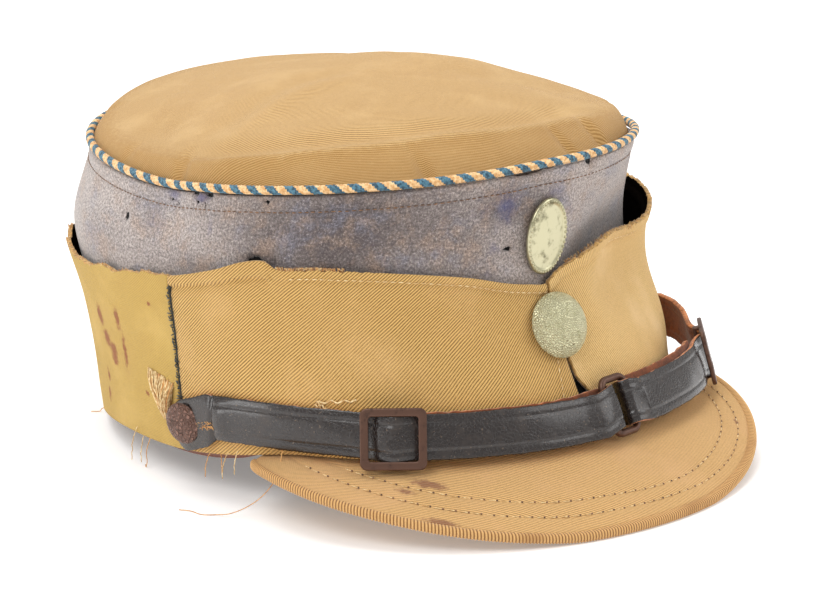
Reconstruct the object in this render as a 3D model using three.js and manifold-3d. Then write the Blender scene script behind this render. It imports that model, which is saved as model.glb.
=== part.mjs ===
// Kepi cap with a turned-up cloth curtain, a corded crown seam, a stiff peak and a leather chin strap.
// Millimetres, +Z up. The front of the cap is -Y and the wearer's right is -X. The cap stands on z = 0,
// on the back of its hem and on the tip of its peak.
//
// Places on the cap are given by theta, in degrees round the head: 0 is the front centre, 90 the wearer's
// right, 180 the back and -90 the wearer's left. "out" is a distance outward from the felt band's face.

import * as THREE from 'three';
import { mergeVertices } from 'three/addons/utils/BufferGeometryUtils.js';
import Module from 'manifold-3d';

const wasm = await Module();
wasm.setup();

// ---- Driving dimensions ------------------------------------------------------------------------------

const HEAD_BACK = 5; // distance of the head oval's centre behind the origin, which is mid-way along the cap
const GAP = 0.4; // clearance between neighbouring pieces
const ROUNDNESS = 2.2; // exponent of the head oval, 2 is an ellipse
const FELT = 2.0; // thickness of the felt band
const CLOTH = 1.6; // thickness of the twill curtain and crown
const LEATHER = 1.6; // thickness of the chin strap
const SWEATBAND = { thickness: 1.3, height: 34, inset: 0.6 };
const PIPING = { radius: 1.5, out: 0.4, sides: 8, steps: 60 };
const CROWN = { top: 122.5, poleY: 15, rimDrop: 1.2, inset: 1.6 };
const PEAK = { reach: 39.2, arc: 69.4, end: 67, thickness: 2.4, width: 0.6, root: -1.8 };
const BINDING = { width: 3.2, height: 3.4 };
const STRAP = { width: 14, end: 7, slot: 11, slotHeight: 3.4 };
const SLIDER = { width: 20.5, height: 19, bar: 2.6, plate: 1.5, barOut: -2.1, corner: 2 };
const RING = { width: 13, height: 20, wire: 2.4, corner: 2.5, out: 6.1, theta: -10.5, z: 26.8 };
const SIDE_BUTTON = {
  radius: 7.2, rim: 0.8, dome: 2.0, shank: 1.2, stem: 2.5, theta: 84.5, z: 22.6, out: 5.2,
};
const FRONT_BUTTON = {
  radius: 10.5, rim: 1.0, dome: 3.6, shank: 1.5, stem: 3.8, theta: -1.2, z: 54, out: 4.7,
};
const BADGE = { width: 18, height: 25, plate: 1.3, rim: 1.5, theta: -1.2, z: 81, out: 1.5 };

// ---- Tables ------------------------------------------------------------------------------------------

function table(columns, rows) {
  const names = columns.split(' ');
  return rows.map((row) => Object.fromEntries(names.map((name, i) => [name, row[i]])));
}

// Height of the band's lower edge, the same on both sides of the cap.
const HEM = table('theta z', [
  [0, 20], [30, 19.8], [50, 19.8], [60, 19.2], [75, 14.8], [90, 11.5],
  [108, 9.5], [122, 7], [140, 3], [158, 0], [180, 0],
]);

// Height of the corded seam between the band and the crown.
const SEAM = table('theta z', [
  [0, 104.7], [25, 103.8], [45, 102.6], [63, 100.8], [81, 98.6], [95, 96.8],
  [110, 96.6], [125, 97.2], [150, 98], [180, 98.5],
]);

// Half sizes of the head oval at four levels, from the hem (0) to the seam (1).
const OVAL = table('level front back side', [
  [0, 94, 107, 85], [0.42, 80.5, 114, 86], [0.72, 78.5, 117.5, 86], [1, 80, 114.5, 83],
]);

// Dents and bulges of the band: where, how wide, and how far out.
const DENTS = table('theta level arc span out', [
  [-35, 0.58, 28, 0.28, -13], [132, 0.72, 42, 0.22, 4.6], [-68, 1, 35, 0.3, -2.5],
]);

// Top edge of the turned-up curtain: its height, and how far its face stands off the band there.
const CURTAIN_EDGE = table('theta z out', [
  [-180, 59, 4.6], [-120, 63, 4.6], [-82, 70, 5.5], [-66, 74, 8], [-50, 79, 10.5], [-30, 82.5, 11.5],
  [-15, 79.5, 8], [-5, 70.5, 3.8], [-1, 66, 3], [4, 67, 2.8], [10, 69, 2.8], [20, 73.5, 2.9], [35, 78, 3], [50, 80.5, 3.2],
  [62, 81, 3.2], [73, 76, 3.2], [85, 70.5, 3.2], [95, 68, 3.4], [105, 64.5, 3.4], [120, 61.5, 3.6], [140, 62, 3.8],
]);

// Rise of the crown from the seam (0) to its top (1), from the middle of the crown (0) to the seam (1).
const CROWN_RISE = table('reach front side back', [
  [0, 1, 1, 1], [0.3, 0.95, 0.95, 0.85], [0.5, 0.84, 0.86, 0.69], [0.7, 0.68, 0.66, 0.53],
  [0.85, 0.53, 0.44, 0.41], [0.93, 0.44, 0.32, 0.3], [1, 0, 0, 0],
]);

// Soft folds of the crown cloth: middle, half lengths along and across, turn, and height.
const CROWN_FOLDS = table('x y along across turn height', [
  [-30, -28, 60, 9, 35, -2.2], [40, -25, 34, 12, -30, -2], [-62, 45, 24, 10, 70, -2], [30, 2, 30, 30, 0, 2.4],
]);

// Height above the floor of the underside of the peak's bound edge.
const PEAK_EDGE = table('theta z', [
  [0, 0], [13, 0], [22, 1.9], [30, 4.3], [45, 9.6], [60, 13.6], [68, 13.4],
]);

// How far the sweatband hangs below the band's lower edge.
const SWEATBAND_DROP = table('theta drop', [
  [0, -1], [60, -0.6], [75, 2.4], [96, 2.4], [115, 0], [140, -0.7], [180, -0.7],
]);

// The right half of the chin strap, from its buttoned end to the link ring, and its return to the slider.
const STRAP_RIGHT = table('theta z out', [
  [89, 21.6, 3.9], [84.5, 22.6, 3.9], [77, 26.6, 3.9], [66, 28, 3.9], [54, 28.2, 3.9], [47, 27.9, 4],
  [43.5, 27.6, 4.6], [41, 27.6, 6.6], [39, 27.6, 7.7], [37, 27.6, 6.9], [34.8, 27.4, 5.8], [31, 27.3, 5.6],
  [20, 26.8, 5.6], [8, 26, 5.9], [0, 25.8, 6.8], [-4, 26, 8.3],
]);
const STRAP_RIGHT_RETURN = table('theta z out', [
  [-4, 26, 4], [0, 25.8, 3.9], [8, 26, 3.8], [20, 26.8, 3.7], [34, 27.4, 3.7],
]);

// The left half, which stands clear of the cap on its way back to the far button.
const STRAP_LEFT = table('theta z out', [
  [-89, 21.6, 3.9], [-84.5, 22.8, 3.9], [-79.5, 26, 4.5], [-74, 29, 8.4], [-67, 30.2, 11.4], [-60, 29.4, 12.2],
  [-53, 27.8, 12], [-50.3, 27.6, 13.9], [-48, 27.6, 15.1], [-45.7, 27.6, 14.2], [-43.4, 27.4, 13],
  [-39.5, 27.2, 12.8], [-34, 27, 11.6], [-26, 26.9, 9.8], [-20, 26.8, 8.9], [-16.5, 26.8, 8.4],
]);
const STRAP_LEFT_RETURN = table('theta z out', [
  [-16.5, 26.8, 3.9], [-20, 26.8, 4.5], [-26, 26.9, 5.8], [-34, 27, 8], [-42.5, 27.3, 10.6],
]);

// ---- Measuring along the tables ----------------------------------------------------------------------

// Smooth value of one column at a place; the first column is the place, and period closes the table.
function read(rows, column, place, period = 0) {
  const key = Object.keys(rows[0])[0];
  let points = rows.map((row) => [row[key], row[column]]);
  if (points[0][0] > points[points.length - 1][0]) points.reverse();
  let at = place;
  if (period > 0) {
    const first = points[0][0];
    at = first + ((((place - first) % period) + period) % period);
    const before = points[points.length - 1];
    points = [[before[0] - period, before[1]], ...points, [first + period, points[0][1]]];
  }
  at = Math.min(Math.max(at, points[0][0]), points[points.length - 1][0]);
  const last = points.length - 1;
  const slope = (a, b) => (points[b][1] - points[a][1]) / (points[b][0] - points[a][0]);
  const bend = (i) => slope(Math.max(i - 1, 0), Math.min(i + 1, last));
  let i = 0;
  while (i < last - 1 && points[i + 1][0] < at) i += 1;
  const step = points[i + 1][0] - points[i][0];
  const s = (at - points[i][0]) / step;
  const rest = 1 - s;
  return rest * rest * (1 + 2 * s) * points[i][1] + s * rest * rest * step * bend(i)
    + s * s * (3 - 2 * s) * points[i + 1][1] - s * s * rest * step * bend(i + 1);
}

const radians = THREE.MathUtils.degToRad;
const mix = THREE.MathUtils.lerp;
const turned = (theta) => ((((theta + 180) % 360) + 360) % 360) - 180;
const hem = (theta) => Math.max(read(HEM, 'z', Math.abs(turned(theta))), 0);
const seam = (theta) => read(SEAM, 'z', Math.abs(turned(theta)));
const bandTop = (theta) => seam(theta) - PIPING.radius - GAP;
const levelOf = (theta, z) => (z - hem(theta)) / (bandTop(theta) - hem(theta));

// Point on the band's face, pushed outward by out.
function band(theta, level, out = 0) {
  const sine = Math.sin(radians(theta));
  const cosine = Math.cos(radians(theta));
  const round = (Math.abs(sine) ** ROUNDNESS + Math.abs(cosine) ** ROUNDNESS) ** (-1 / ROUNDNESS);
  let push = out;
  for (const dent of DENTS) {
    const away = (turned(theta - dent.theta) / dent.arc) ** 2 + ((level - dent.level) / dent.span) ** 2;
    push += dent.out * Math.exp(-away);
  }
  const length = read(OVAL, cosine > 0 ? 'front' : 'back', level) + push;
  const side = read(OVAL, 'side', level) + push;
  const z = mix(hem(theta), bandTop(theta), level);
  return new THREE.Vector3(-side * sine * round, -length * cosine * round, z);
}

// The same point at a height instead of a level, and the two directions along the band's face there.
const bandAt = (theta, z, out = 0) => band(theta, levelOf(theta, z), out).setZ(z);

function directions(theta, z, out = 0) {
  const ahead = bandAt(theta + 1, z, out).sub(bandAt(theta - 1, z, out)).setZ(0).normalize();
  const rise = bandAt(theta, z + 5, out).sub(bandAt(theta, z - 5, out));
  const outward = new THREE.Vector3().crossVectors(rise, ahead).normalize();
  return { ahead, up: new THREE.Vector3().crossVectors(ahead, outward), outward };
}

// ---- Closed solids -----------------------------------------------------------------------------------

// Joins equal corners, drops flat triangles and turns every face outward.
function closed(positions, index) {
  const loose = new THREE.BufferGeometry();
  loose.setAttribute('position', new THREE.Float32BufferAttribute(positions, 3));
  loose.setIndex(index);
  const geometry = mergeVertices(loose, 1e-4);
  const corners = Array.from(geometry.index.array);
  const kept = [];
  let volume = 0;
  const [a, b, c] = [new THREE.Vector3(), new THREE.Vector3(), new THREE.Vector3()];
  for (let i = 0; i < corners.length; i += 3) {
    const [p, q, r] = corners.slice(i, i + 3);
    if (p === q || q === r || r === p) continue;
    kept.push(p, q, r);
    a.fromBufferAttribute(geometry.attributes.position, p);
    b.fromBufferAttribute(geometry.attributes.position, q);
    c.fromBufferAttribute(geometry.attributes.position, r);
    volume += a.dot(b.cross(c));
  }
  geometry.setIndex(volume < 0 ? kept.reverse() : kept);
  return geometry;
}

// A wall between two faces: place(u, v, side) gives its points, with side 0 on one face and 1 on the other.
function wall(columns, rows, wraps, place) {
  const count = wraps ? columns : columns + 1;
  const positions = [];
  for (const side of [0, 1]) {
    for (let i = 0; i < count; i += 1) {
      for (let j = 0; j <= rows; j += 1) positions.push(...place(i / columns, j / rows, side).toArray());
    }
  }
  const at = (side, i, j) => (side * count + (i % count)) * (rows + 1) + j;
  const index = [];
  const quad = (p, q, r, s) => index.push(p, q, r, p, r, s);
  for (let i = 0; i < columns; i += 1) {
    for (let j = 0; j < rows; j += 1) {
      quad(at(0, i, j), at(0, i + 1, j), at(0, i + 1, j + 1), at(0, i, j + 1));
      quad(at(1, i, j), at(1, i, j + 1), at(1, i + 1, j + 1), at(1, i + 1, j));
    }
    quad(at(0, i, 0), at(1, i, 0), at(1, i + 1, 0), at(0, i + 1, 0));
    quad(at(0, i, rows), at(0, i + 1, rows), at(1, i + 1, rows), at(1, i, rows));
  }
  for (let j = 0; j < rows && !wraps; j += 1) {
    quad(at(0, 0, j), at(0, 0, j + 1), at(1, 0, j + 1), at(1, 0, j));
    quad(at(0, columns, j), at(1, columns, j), at(1, columns, j + 1), at(0, columns, j + 1));
  }
  return closed(positions, index);
}

// A closed rod: ring(u) gives its section's points at u, and wraps joins its ends.
function rod(columns, wraps, ring) {
  const count = wraps ? columns : columns + 1;
  const rings = Array.from({ length: count }, (_, i) => ring(i / columns));
  const sides = rings[0].length;
  const positions = rings.flat().flatMap((point) => point.toArray());
  const at = (i, j) => (i % count) * sides + (j % sides);
  const index = [];
  for (let i = 0; i < columns; i += 1) {
    for (let j = 0; j < sides; j += 1) {
      index.push(at(i, j), at(i, j + 1), at(i + 1, j + 1), at(i, j), at(i + 1, j + 1), at(i + 1, j));
    }
  }
  for (let j = 1; j < sides - 1 && !wraps; j += 1) {
    index.push(at(0, 0), at(0, j + 1), at(0, j), at(columns, 0), at(columns, j), at(columns, j + 1));
  }
  return closed(positions, index);
}

function solidOf(geometry) {
  const bare = new THREE.BufferGeometry();
  bare.setAttribute('position', geometry.attributes.position.clone());
  if (geometry.index) bare.setIndex(geometry.index.clone());
  const merged = mergeVertices(bare, 1e-4);
  return new wasm.Manifold(new wasm.Mesh({
    numProp: 3,
    vertProperties: new Float32Array(merged.attributes.position.array),
    triVerts: new Uint32Array(merged.index.array),
  }));
}

function geometryOf(solid) {
  const mesh = solid.getMesh();
  return closed(Array.from(mesh.vertProperties), Array.from(mesh.triVerts));
}

const cut = (geometry, tool) => geometryOf(solidOf(geometry).subtract(solidOf(tool)));

// Turns and moves a piece drawn flat, with its face towards +Z, onto the cap: its face points outward.
function seated(geometry, theta, z, out) {
  const { ahead, up, outward } = directions(theta, z, out);
  const frame = new THREE.Matrix4().makeBasis(ahead.negate(), up, outward);
  return geometry.clone().applyMatrix4(frame.setPosition(bandAt(theta, z, out)));
}

function roundedRectangle(path, width, height, corner) {
  const [w, h] = [width / 2, height / 2];
  path.moveTo(w, -h + corner);
  path.absarc(w - corner, h - corner, corner, 0, Math.PI / 2, false);
  path.absarc(-w + corner, h - corner, corner, Math.PI / 2, Math.PI, false);
  path.absarc(-w + corner, -h + corner, corner, Math.PI, 1.5 * Math.PI, false);
  path.absarc(w - corner, -h + corner, corner, 1.5 * Math.PI, 2 * Math.PI, false);
  return path;
}

// ---- Pieces ------------------------------------------------------------------------------------------

const crownBand = () => wall(48, 8, true, (u, v, side) => band(u * 360, v, -FELT * side));

// The curtain between two angles at the hem and two at its top edge.
function curtain(columns, fromHem, fromTop, toHem, toTop) {
  return wall(columns, 6, false, (u, v, side) => {
    const theta = mix(mix(fromHem, fromTop, v), mix(toHem, toTop, v), u);
    const z = mix(hem(theta), read(CURTAIN_EDGE, 'z', theta, 360), v);
    const flat = FELT + 0.2;
    const out = flat + (read(CURTAIN_EDGE, 'out', theta, 360) - flat) * v ** 1.5;
    return bandAt(theta, z, out - CLOTH * side);
  });
}

const buttonHole = () => {
  const pin = new THREE.CylinderGeometry(FRONT_BUTTON.shank + GAP, FRONT_BUTTON.shank + GAP, 12, 12);
  return seated(pin.rotateX(Math.PI / 2), FRONT_BUTTON.theta, FRONT_BUTTON.z, FRONT_BUTTON.out);
};

function crownTop() {
  return wall(48, 9, true, (u, v, side) => {
    const theta = u * 360;
    const reach = v ** 0.8;
    const rim = band(theta, 1, -CROWN.inset - CLOTH * side);
    const front = Math.cos(radians(theta));
    const lengthways = read(CROWN_RISE, front > 0 ? 'front' : 'back', reach);
    const rise = mix(read(CROWN_RISE, 'side', reach), lengthways, front ** 2);
    const foot = seam(theta) - CROWN.rimDrop;
    const point = new THREE.Vector3(rim.x * reach, mix(CROWN.poleY, rim.y, reach), mix(foot, CROWN.top, rise));
    const inside = 1 - reach ** 6;
    for (const fold of CROWN_FOLDS) {
      const [dx, dy, turn] = [point.x - fold.x, point.y - fold.y, radians(fold.turn)];
      const along = (dx * Math.cos(turn) + dy * Math.sin(turn)) / fold.along;
      const across = (dy * Math.cos(turn) - dx * Math.sin(turn)) / fold.across;
      point.z += fold.height * inside * Math.exp(-along * along - across * across);
    }
    point.z -= CLOTH * side * inside;
    return point;
  });
}

function piping() {
  return rod(PIPING.steps, true, (u) => {
    const theta = u * 360;
    const middle = band(theta, 1, PIPING.out).setZ(seam(theta));
    const { outward } = directions(theta, bandTop(theta) - 6, PIPING.out);
    outward.setZ(0).normalize();
    return Array.from({ length: PIPING.sides }, (_, j) => {
      const angle = (2 * Math.PI * j) / PIPING.sides;
      return middle.clone().addScaledVector(outward, PIPING.radius * Math.cos(angle))
        .add(new THREE.Vector3(0, 0, PIPING.radius * Math.sin(angle)));
    });
  });
}

function sweatband() {
  return wall(48, 3, true, (u, v, side) => {
    const theta = u * 360;
    const bottom = hem(theta) - read(SWEATBAND_DROP, 'drop', Math.abs(turned(theta)));
    const z = mix(bottom, hem(theta) + SWEATBAND.height, v);
    const level = Math.max(levelOf(theta, z), 0);
    return band(theta, level, -FELT - SWEATBAND.inset - SWEATBAND.thickness * side).setZ(z);
  });
}

// Distance of the peak's outer edge from the band, and a point of the peak that far out.
const peakFoot = (theta) => Math.max(read(PEAK_EDGE, 'z', Math.abs(theta)), 0);
const peakReach = (theta) => PEAK.reach * Math.cos(radians((theta / PEAK.arc) * 90)) ** PEAK.width;

function overPeak(theta, distance, z) {
  const { outward } = directions(theta, hem(theta) + 5);
  outward.setZ(0).normalize();
  return band(theta, 0).addScaledVector(outward, distance).setZ(z);
}

function peak() {
  return wall(32, 6, false, (u, v, side) => {
    const theta = mix(-PEAK.end, PEAK.end, u);
    const edge = peakFoot(theta) + (BINDING.height + PEAK.thickness) / 2;
    const outer = peakReach(theta) - BINDING.width - GAP;
    const z = mix(hem(theta) - GAP, edge, v) - PEAK.thickness * side;
    return overPeak(theta, mix(PEAK.root, Math.max(outer, 0.5), v), z);
  });
}

// The ribbed tape round the peak's edge, a rod with rounded shoulders.
function peakBinding() {
  const [w, h] = [BINDING.width / 2, BINDING.height / 2];
  const section = [[-w, -h * 0.7], [-w * 0.5, -h], [w * 0.4, -h], [w, -h * 0.4], [w, h * 0.4], [w * 0.4, h],
    [-w * 0.5, h], [-w, h * 0.7]];
  return rod(44, false, (u) => {
    const theta = mix(-PEAK.end, PEAK.end, u);
    const foot = peakFoot(theta) + h;
    return section.map(([out, up]) => overPeak(theta, peakReach(theta) - w + out, foot + up));
  });
}

// One half of the chin strap: out along its route, round a bar of the link ring, and back underneath.
function strap(route, back) {
  const way = Math.sign(route[route.length - 1].theta - route[0].theta);
  const steps = [];
  const follow = (rows, from, to, count) => {
    for (let i = 0; i <= count; i += 1) {
      const theta = mix(from, to, i / count);
      const [z, out] = [read(rows, 'z', theta), read(rows, 'out', theta)];
      steps.push({ middle: bandAt(theta, z, out), up: directions(theta, z, out).up });
    }
  };
  follow(route, route[0].theta, route[route.length - 1].theta, 58);
  const bar = directions(RING.theta, RING.z, RING.out);
  const ahead = bar.ahead.clone().multiplyScalar(way);
  const middle = bandAt(RING.theta, RING.z, RING.out).addScaledVector(ahead, (RING.wire - RING.width) / 2);
  const radius = (RING.wire + LEATHER) / 2 + 2 * GAP;
  for (const angle of [60, 20, -20, -60]) {
    const [across, along] = [Math.sin(radians(angle)), Math.cos(radians(angle))];
    const point = middle.clone().addScaledVector(bar.outward, radius * across);
    steps.push({ middle: point.addScaledVector(ahead, radius * along), up: bar.up });
  }
  follow(back, back[0].theta, back[back.length - 1].theta, 20);

  const lengths = [0];
  for (let i = 1; i < steps.length; i += 1) {
    lengths.push(lengths[i - 1] + steps[i].middle.distanceTo(steps[i - 1].middle));
  }
  return wall(steps.length - 1, 1, false, (u, v, side) => {
    const i = Math.round(u * (steps.length - 1));
    const [before, after] = [steps[Math.max(i - 1, 0)], steps[Math.min(i + 1, steps.length - 1)]];
    const { middle: point, up } = steps[i];
    const tangent = after.middle.clone().sub(before.middle).normalize();
    const normal = new THREE.Vector3().crossVectors(tangent, up).normalize();
    const fromEnd = Math.min(lengths[i] / STRAP.end, 1);
    const half = (STRAP.width / 2) * Math.sqrt(1 - (1 - Math.max(fromEnd, 0.06)) ** 2);
    return point.clone().addScaledVector(up, half * (2 * v - 1)).addScaledVector(normal, LEATHER * (side - 0.5));
  });
}

// The strap with the slot that its side button passes through.
function buttonedStrap(route, back) {
  const slot = new THREE.BoxGeometry(STRAP.slot, STRAP.slotHeight, 5 * LEATHER);
  const { theta, z, out } = route.find((row) => Math.abs(row.theta) === SIDE_BUTTON.theta);
  return cut(strap(route, back), seated(slot, theta, z, out));
}

// A flat slider: a square frame, with a middle bar set back on two short lugs for the strap to pass over.
function slider(theta, z, out) {
  const frame = roundedRectangle(new THREE.Shape(), SLIDER.width, SLIDER.height, SLIDER.corner);
  const opening = [SLIDER.width - 2 * SLIDER.bar, SLIDER.height - 2 * SLIDER.bar + 0.8];
  frame.holes.push(roundedRectangle(new THREE.Path(), ...opening, SLIDER.corner / 2));
  const plate = new THREE.ExtrudeGeometry(frame, { depth: SLIDER.plate, bevelEnabled: false, curveSegments: 3 });
  const bar = new THREE.BoxGeometry(SLIDER.bar, SLIDER.height - 1, SLIDER.plate * 0.8);
  bar.translate(0, 0, SLIDER.barOut + SLIDER.plate * 0.4);
  let solid = solidOf(plate).add(solidOf(bar));
  for (const end of [-1, 1]) {
    const lug = new THREE.BoxGeometry(SLIDER.bar, 1.2, SLIDER.plate - SLIDER.barOut - 0.2);
    lug.translate(0, end * (SLIDER.height / 2 - 1), (SLIDER.plate + SLIDER.barOut) / 2);
    solid = solid.add(solidOf(lug));
  }
  return seated(geometryOf(solid), theta, z, out);
}

function linkRing() {
  const [w, h] = [(RING.width - RING.wire) / 2, (RING.height - RING.wire) / 2];
  const corners = [[1, 1], [-1, 1], [-1, -1], [1, -1]];
  const ring = rod(16, true, (u) => {
    const [corner, step] = [Math.floor(u * 4 + 1e-9), Math.round((u * 16) % 4)];
    const [sx, sy] = corners[corner];
    const angle = radians(corner * 90 + step * 30);
    const centre = new THREE.Vector3(sx * (w - RING.corner), sy * (h - RING.corner), 0);
    const outward = new THREE.Vector3(Math.cos(angle), Math.sin(angle), 0);
    centre.addScaledVector(outward, RING.corner);
    return Array.from({ length: 8 }, (_, j) => {
      const round = (2 * Math.PI * j) / 8;
      return centre.clone().addScaledVector(outward, (RING.wire / 2) * Math.cos(round))
        .add(new THREE.Vector3(0, 0, (RING.wire / 2) * Math.sin(round)));
    });
  });
  return seated(ring, RING.theta, RING.z, RING.out);
}

// A domed button with a rim and a shank that reaches almost to the band.
function button({ radius, rim, dome, shank, stem, out }, theta, z) {
  const profile = [[0, -stem], [shank, -stem], [shank, 0], [radius * 0.8, 0], [radius, rim * 0.4]];
  profile.push([radius, rim]);
  for (const angle of [60, 45, 30, 15]) {
    const turn = radians(angle);
    profile.push([radius * Math.sin(turn) * 1.08, rim + (dome * (Math.cos(turn) - 0.4)) / 0.6]);
  }
  profile.push([0, rim + dome]);
  const points = profile.map(([x, y]) => new THREE.Vector2(x, y));
  const head = new THREE.LatheGeometry(points, 20).rotateX(Math.PI / 2);
  const bare = closed(Array.from(head.attributes.position.array), Array.from(head.index.array));
  return seated(bare, theta, z, out);
}

// A plain oval cap badge: a low domed plate inside a raised rim.
function badge() {
  const profile = [[0, 0], [1, 0], [1, BADGE.rim], [0.84, BADGE.rim], [0.8, BADGE.plate * 0.7], [0.5, BADGE.plate]];
  const points = [...profile, [0, BADGE.plate * 1.1]].map(([x, y]) => new THREE.Vector2(x, y));
  const plate = new THREE.LatheGeometry(points, 28).rotateX(Math.PI / 2);
  plate.scale(BADGE.width / 2, BADGE.height / 2, 1);
  const bare = closed(Array.from(plate.attributes.position.array), Array.from(plate.index.array));
  return seated(bare, BADGE.theta, BADGE.z, BADGE.out);
}

// ---- Assembly ----------------------------------------------------------------------------------------

const FINISHES = {
  felt: { color: '#9a8f8c', roughness: 0.95, metalness: 0 },
  twill: { color: '#cca267', roughness: 0.9, metalness: 0 },
  backTwill: { color: '#d3ad62', roughness: 0.9, metalness: 0 },
  cord: { color: '#c9b78f', roughness: 0.8, metalness: 0 },
  binding: { color: '#c19565', roughness: 0.9, metalness: 0 },
  strapLeather: { color: '#4b403e', roughness: 0.45, metalness: 0 },
  bandLeather: { color: '#7a3a1f', roughness: 0.6, metalness: 0 },
  brownMetal: { color: '#50392f', roughness: 0.4, metalness: 0.8 },
  nickel: { color: '#d8d2b8', roughness: 0.35, metalness: 1 },
};

const cap = new THREE.Group();
cap.position.y = HEAD_BACK;

function add(name, geometry, finish) {
  const mesh = new THREE.Mesh(geometry, new THREE.MeshStandardMaterial(FINISHES[finish]));
  mesh.name = name;
  cap.add(mesh);
}

const sideSeam = 86.6;

add('crown_top', crownTop(), 'twill');
add('crown_band', crownBand(), 'felt');
add('piping', piping(), 'cord');
add('curtain_right', cut(curtain(15, -3.4, -0.7, sideSeam, sideSeam), buttonHole()), 'twill');
add('curtain_left', cut(curtain(18, -sideSeam, -sideSeam, -4.6, -1.4), buttonHole()), 'twill');
add('curtain_back', curtain(26, 87.4, 87.4, 272.6, 272.6), 'backTwill');
add('peak', peak(), 'twill');
add('peak_binding', peakBinding(), 'binding');
add('sweatband', sweatband(), 'bandLeather');
add('strap_right', buttonedStrap(STRAP_RIGHT, STRAP_RIGHT_RETURN), 'strapLeather');
add('strap_left', buttonedStrap(STRAP_LEFT, STRAP_LEFT_RETURN), 'strapLeather');
add('slider_right', slider(39, 27.6, 7.2), 'brownMetal');
add('slider_left', slider(-48, 27.6, 14.6), 'brownMetal');
add('link_ring', linkRing(), 'brownMetal');
add('side_button_right', button(SIDE_BUTTON, SIDE_BUTTON.theta, SIDE_BUTTON.z), 'brownMetal');
add('side_button_left', button(SIDE_BUTTON, -SIDE_BUTTON.theta, SIDE_BUTTON.z), 'brownMetal');
add('front_button', button(FRONT_BUTTON, FRONT_BUTTON.theta, FRONT_BUTTON.z), 'nickel');
add('badge', badge(), 'nickel');

export default cap;
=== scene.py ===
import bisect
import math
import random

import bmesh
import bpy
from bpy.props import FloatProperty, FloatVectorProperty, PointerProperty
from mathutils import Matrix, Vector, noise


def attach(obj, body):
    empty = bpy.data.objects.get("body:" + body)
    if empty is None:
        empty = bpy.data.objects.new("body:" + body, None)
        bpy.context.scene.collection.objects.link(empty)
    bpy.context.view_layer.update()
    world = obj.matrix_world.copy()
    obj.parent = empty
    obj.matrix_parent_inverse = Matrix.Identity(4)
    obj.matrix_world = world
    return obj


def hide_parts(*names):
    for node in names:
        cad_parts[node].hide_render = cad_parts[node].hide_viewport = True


bl_info = {
    "name": "Kepi cap",
    "version": (1, 0, 0),
    "blender": (4, 5, 0),
    "location": "3D View > Sidebar > Kepi",
    "description": "Cloth, cord, leather and metal pieces of an old kepi cap, built round its solid model",
    "category": "Object",
}

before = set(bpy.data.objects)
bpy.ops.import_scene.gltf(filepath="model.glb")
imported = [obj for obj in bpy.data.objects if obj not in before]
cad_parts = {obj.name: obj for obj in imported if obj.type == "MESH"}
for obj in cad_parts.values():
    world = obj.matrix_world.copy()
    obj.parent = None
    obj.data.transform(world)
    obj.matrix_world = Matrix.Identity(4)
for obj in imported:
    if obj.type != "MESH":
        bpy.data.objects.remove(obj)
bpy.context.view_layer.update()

# The cap is worked out in millimetres and written to Blender in metres. Its front is -Y and the wearer's
# right is -X. Places on it are given by theta, in degrees round the head: 0 is the front centre, 90 the
# wearer's right, 180 the back. "out" is a distance outward from the felt band's face.

MM = 0.001
HEAD_BACK = Vector((0, 5, 0))  # the head oval's centre, behind the middle of the cap's length
GAP = 0.4
ROUNDNESS = 2.2  # exponent of the head oval, 2 is an ellipse
MM_PER_DEGREE = 1.65  # length of one degree of theta along the band


# ---- Shapes of the cap ---------------------------------------------------------------------------------

class Table:
    """Rows of named columns, read smoothly along the first one; period closes the table on itself."""

    def __init__(self, columns, *rows, period=0):
        names = columns.split()
        rows = sorted(rows)
        self.first, self.period = rows[0][0], period
        if period:
            before = (rows[-1][0] - period, *rows[-1][1:])
            rows = [before, *rows, (rows[0][0] + period, *rows[0][1:])]
        self.places = [row[0] for row in rows]
        self.values = {name: [row[i] for row in rows] for i, name in enumerate(names)}

    def read(self, column, place):
        places, values = self.places, self.values[column]
        last = len(places) - 1
        if self.period:
            place = self.first + (place - self.first) % self.period
        place = min(max(place, places[0]), places[last])
        i = min(max(bisect.bisect_right(places, place) - 1, 0), last - 1)

        def bend(k):
            a, b = max(k - 1, 0), min(k + 1, last)
            return (values[b] - values[a]) / (places[b] - places[a])

        step = places[i + 1] - places[i]
        s = (place - places[i]) / step
        rest = 1 - s
        return (rest * rest * (1 + 2 * s) * values[i] + s * rest * rest * step * bend(i)
                + s * s * (3 - 2 * s) * values[i + 1] - s * s * rest * step * bend(i + 1))


HEM = Table("theta z", (0, 20), (30, 19.8), (50, 19.8), (60, 19.2), (75, 14.8), (90, 11.5), (108, 9.5),
            (122, 7), (140, 3), (158, 0), (180, 0))
SEAM = Table("theta z", (0, 104.7), (25, 103.8), (45, 102.6), (63, 100.8), (81, 98.6), (95, 96.8),
             (110, 96.6), (125, 97.2), (150, 98), (180, 98.5))
OVAL = Table("level front back side", (0, 94, 107, 85), (0.42, 80.5, 114, 86), (0.72, 78.5, 117.5, 86),
             (1, 80, 114.5, 83))
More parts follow.
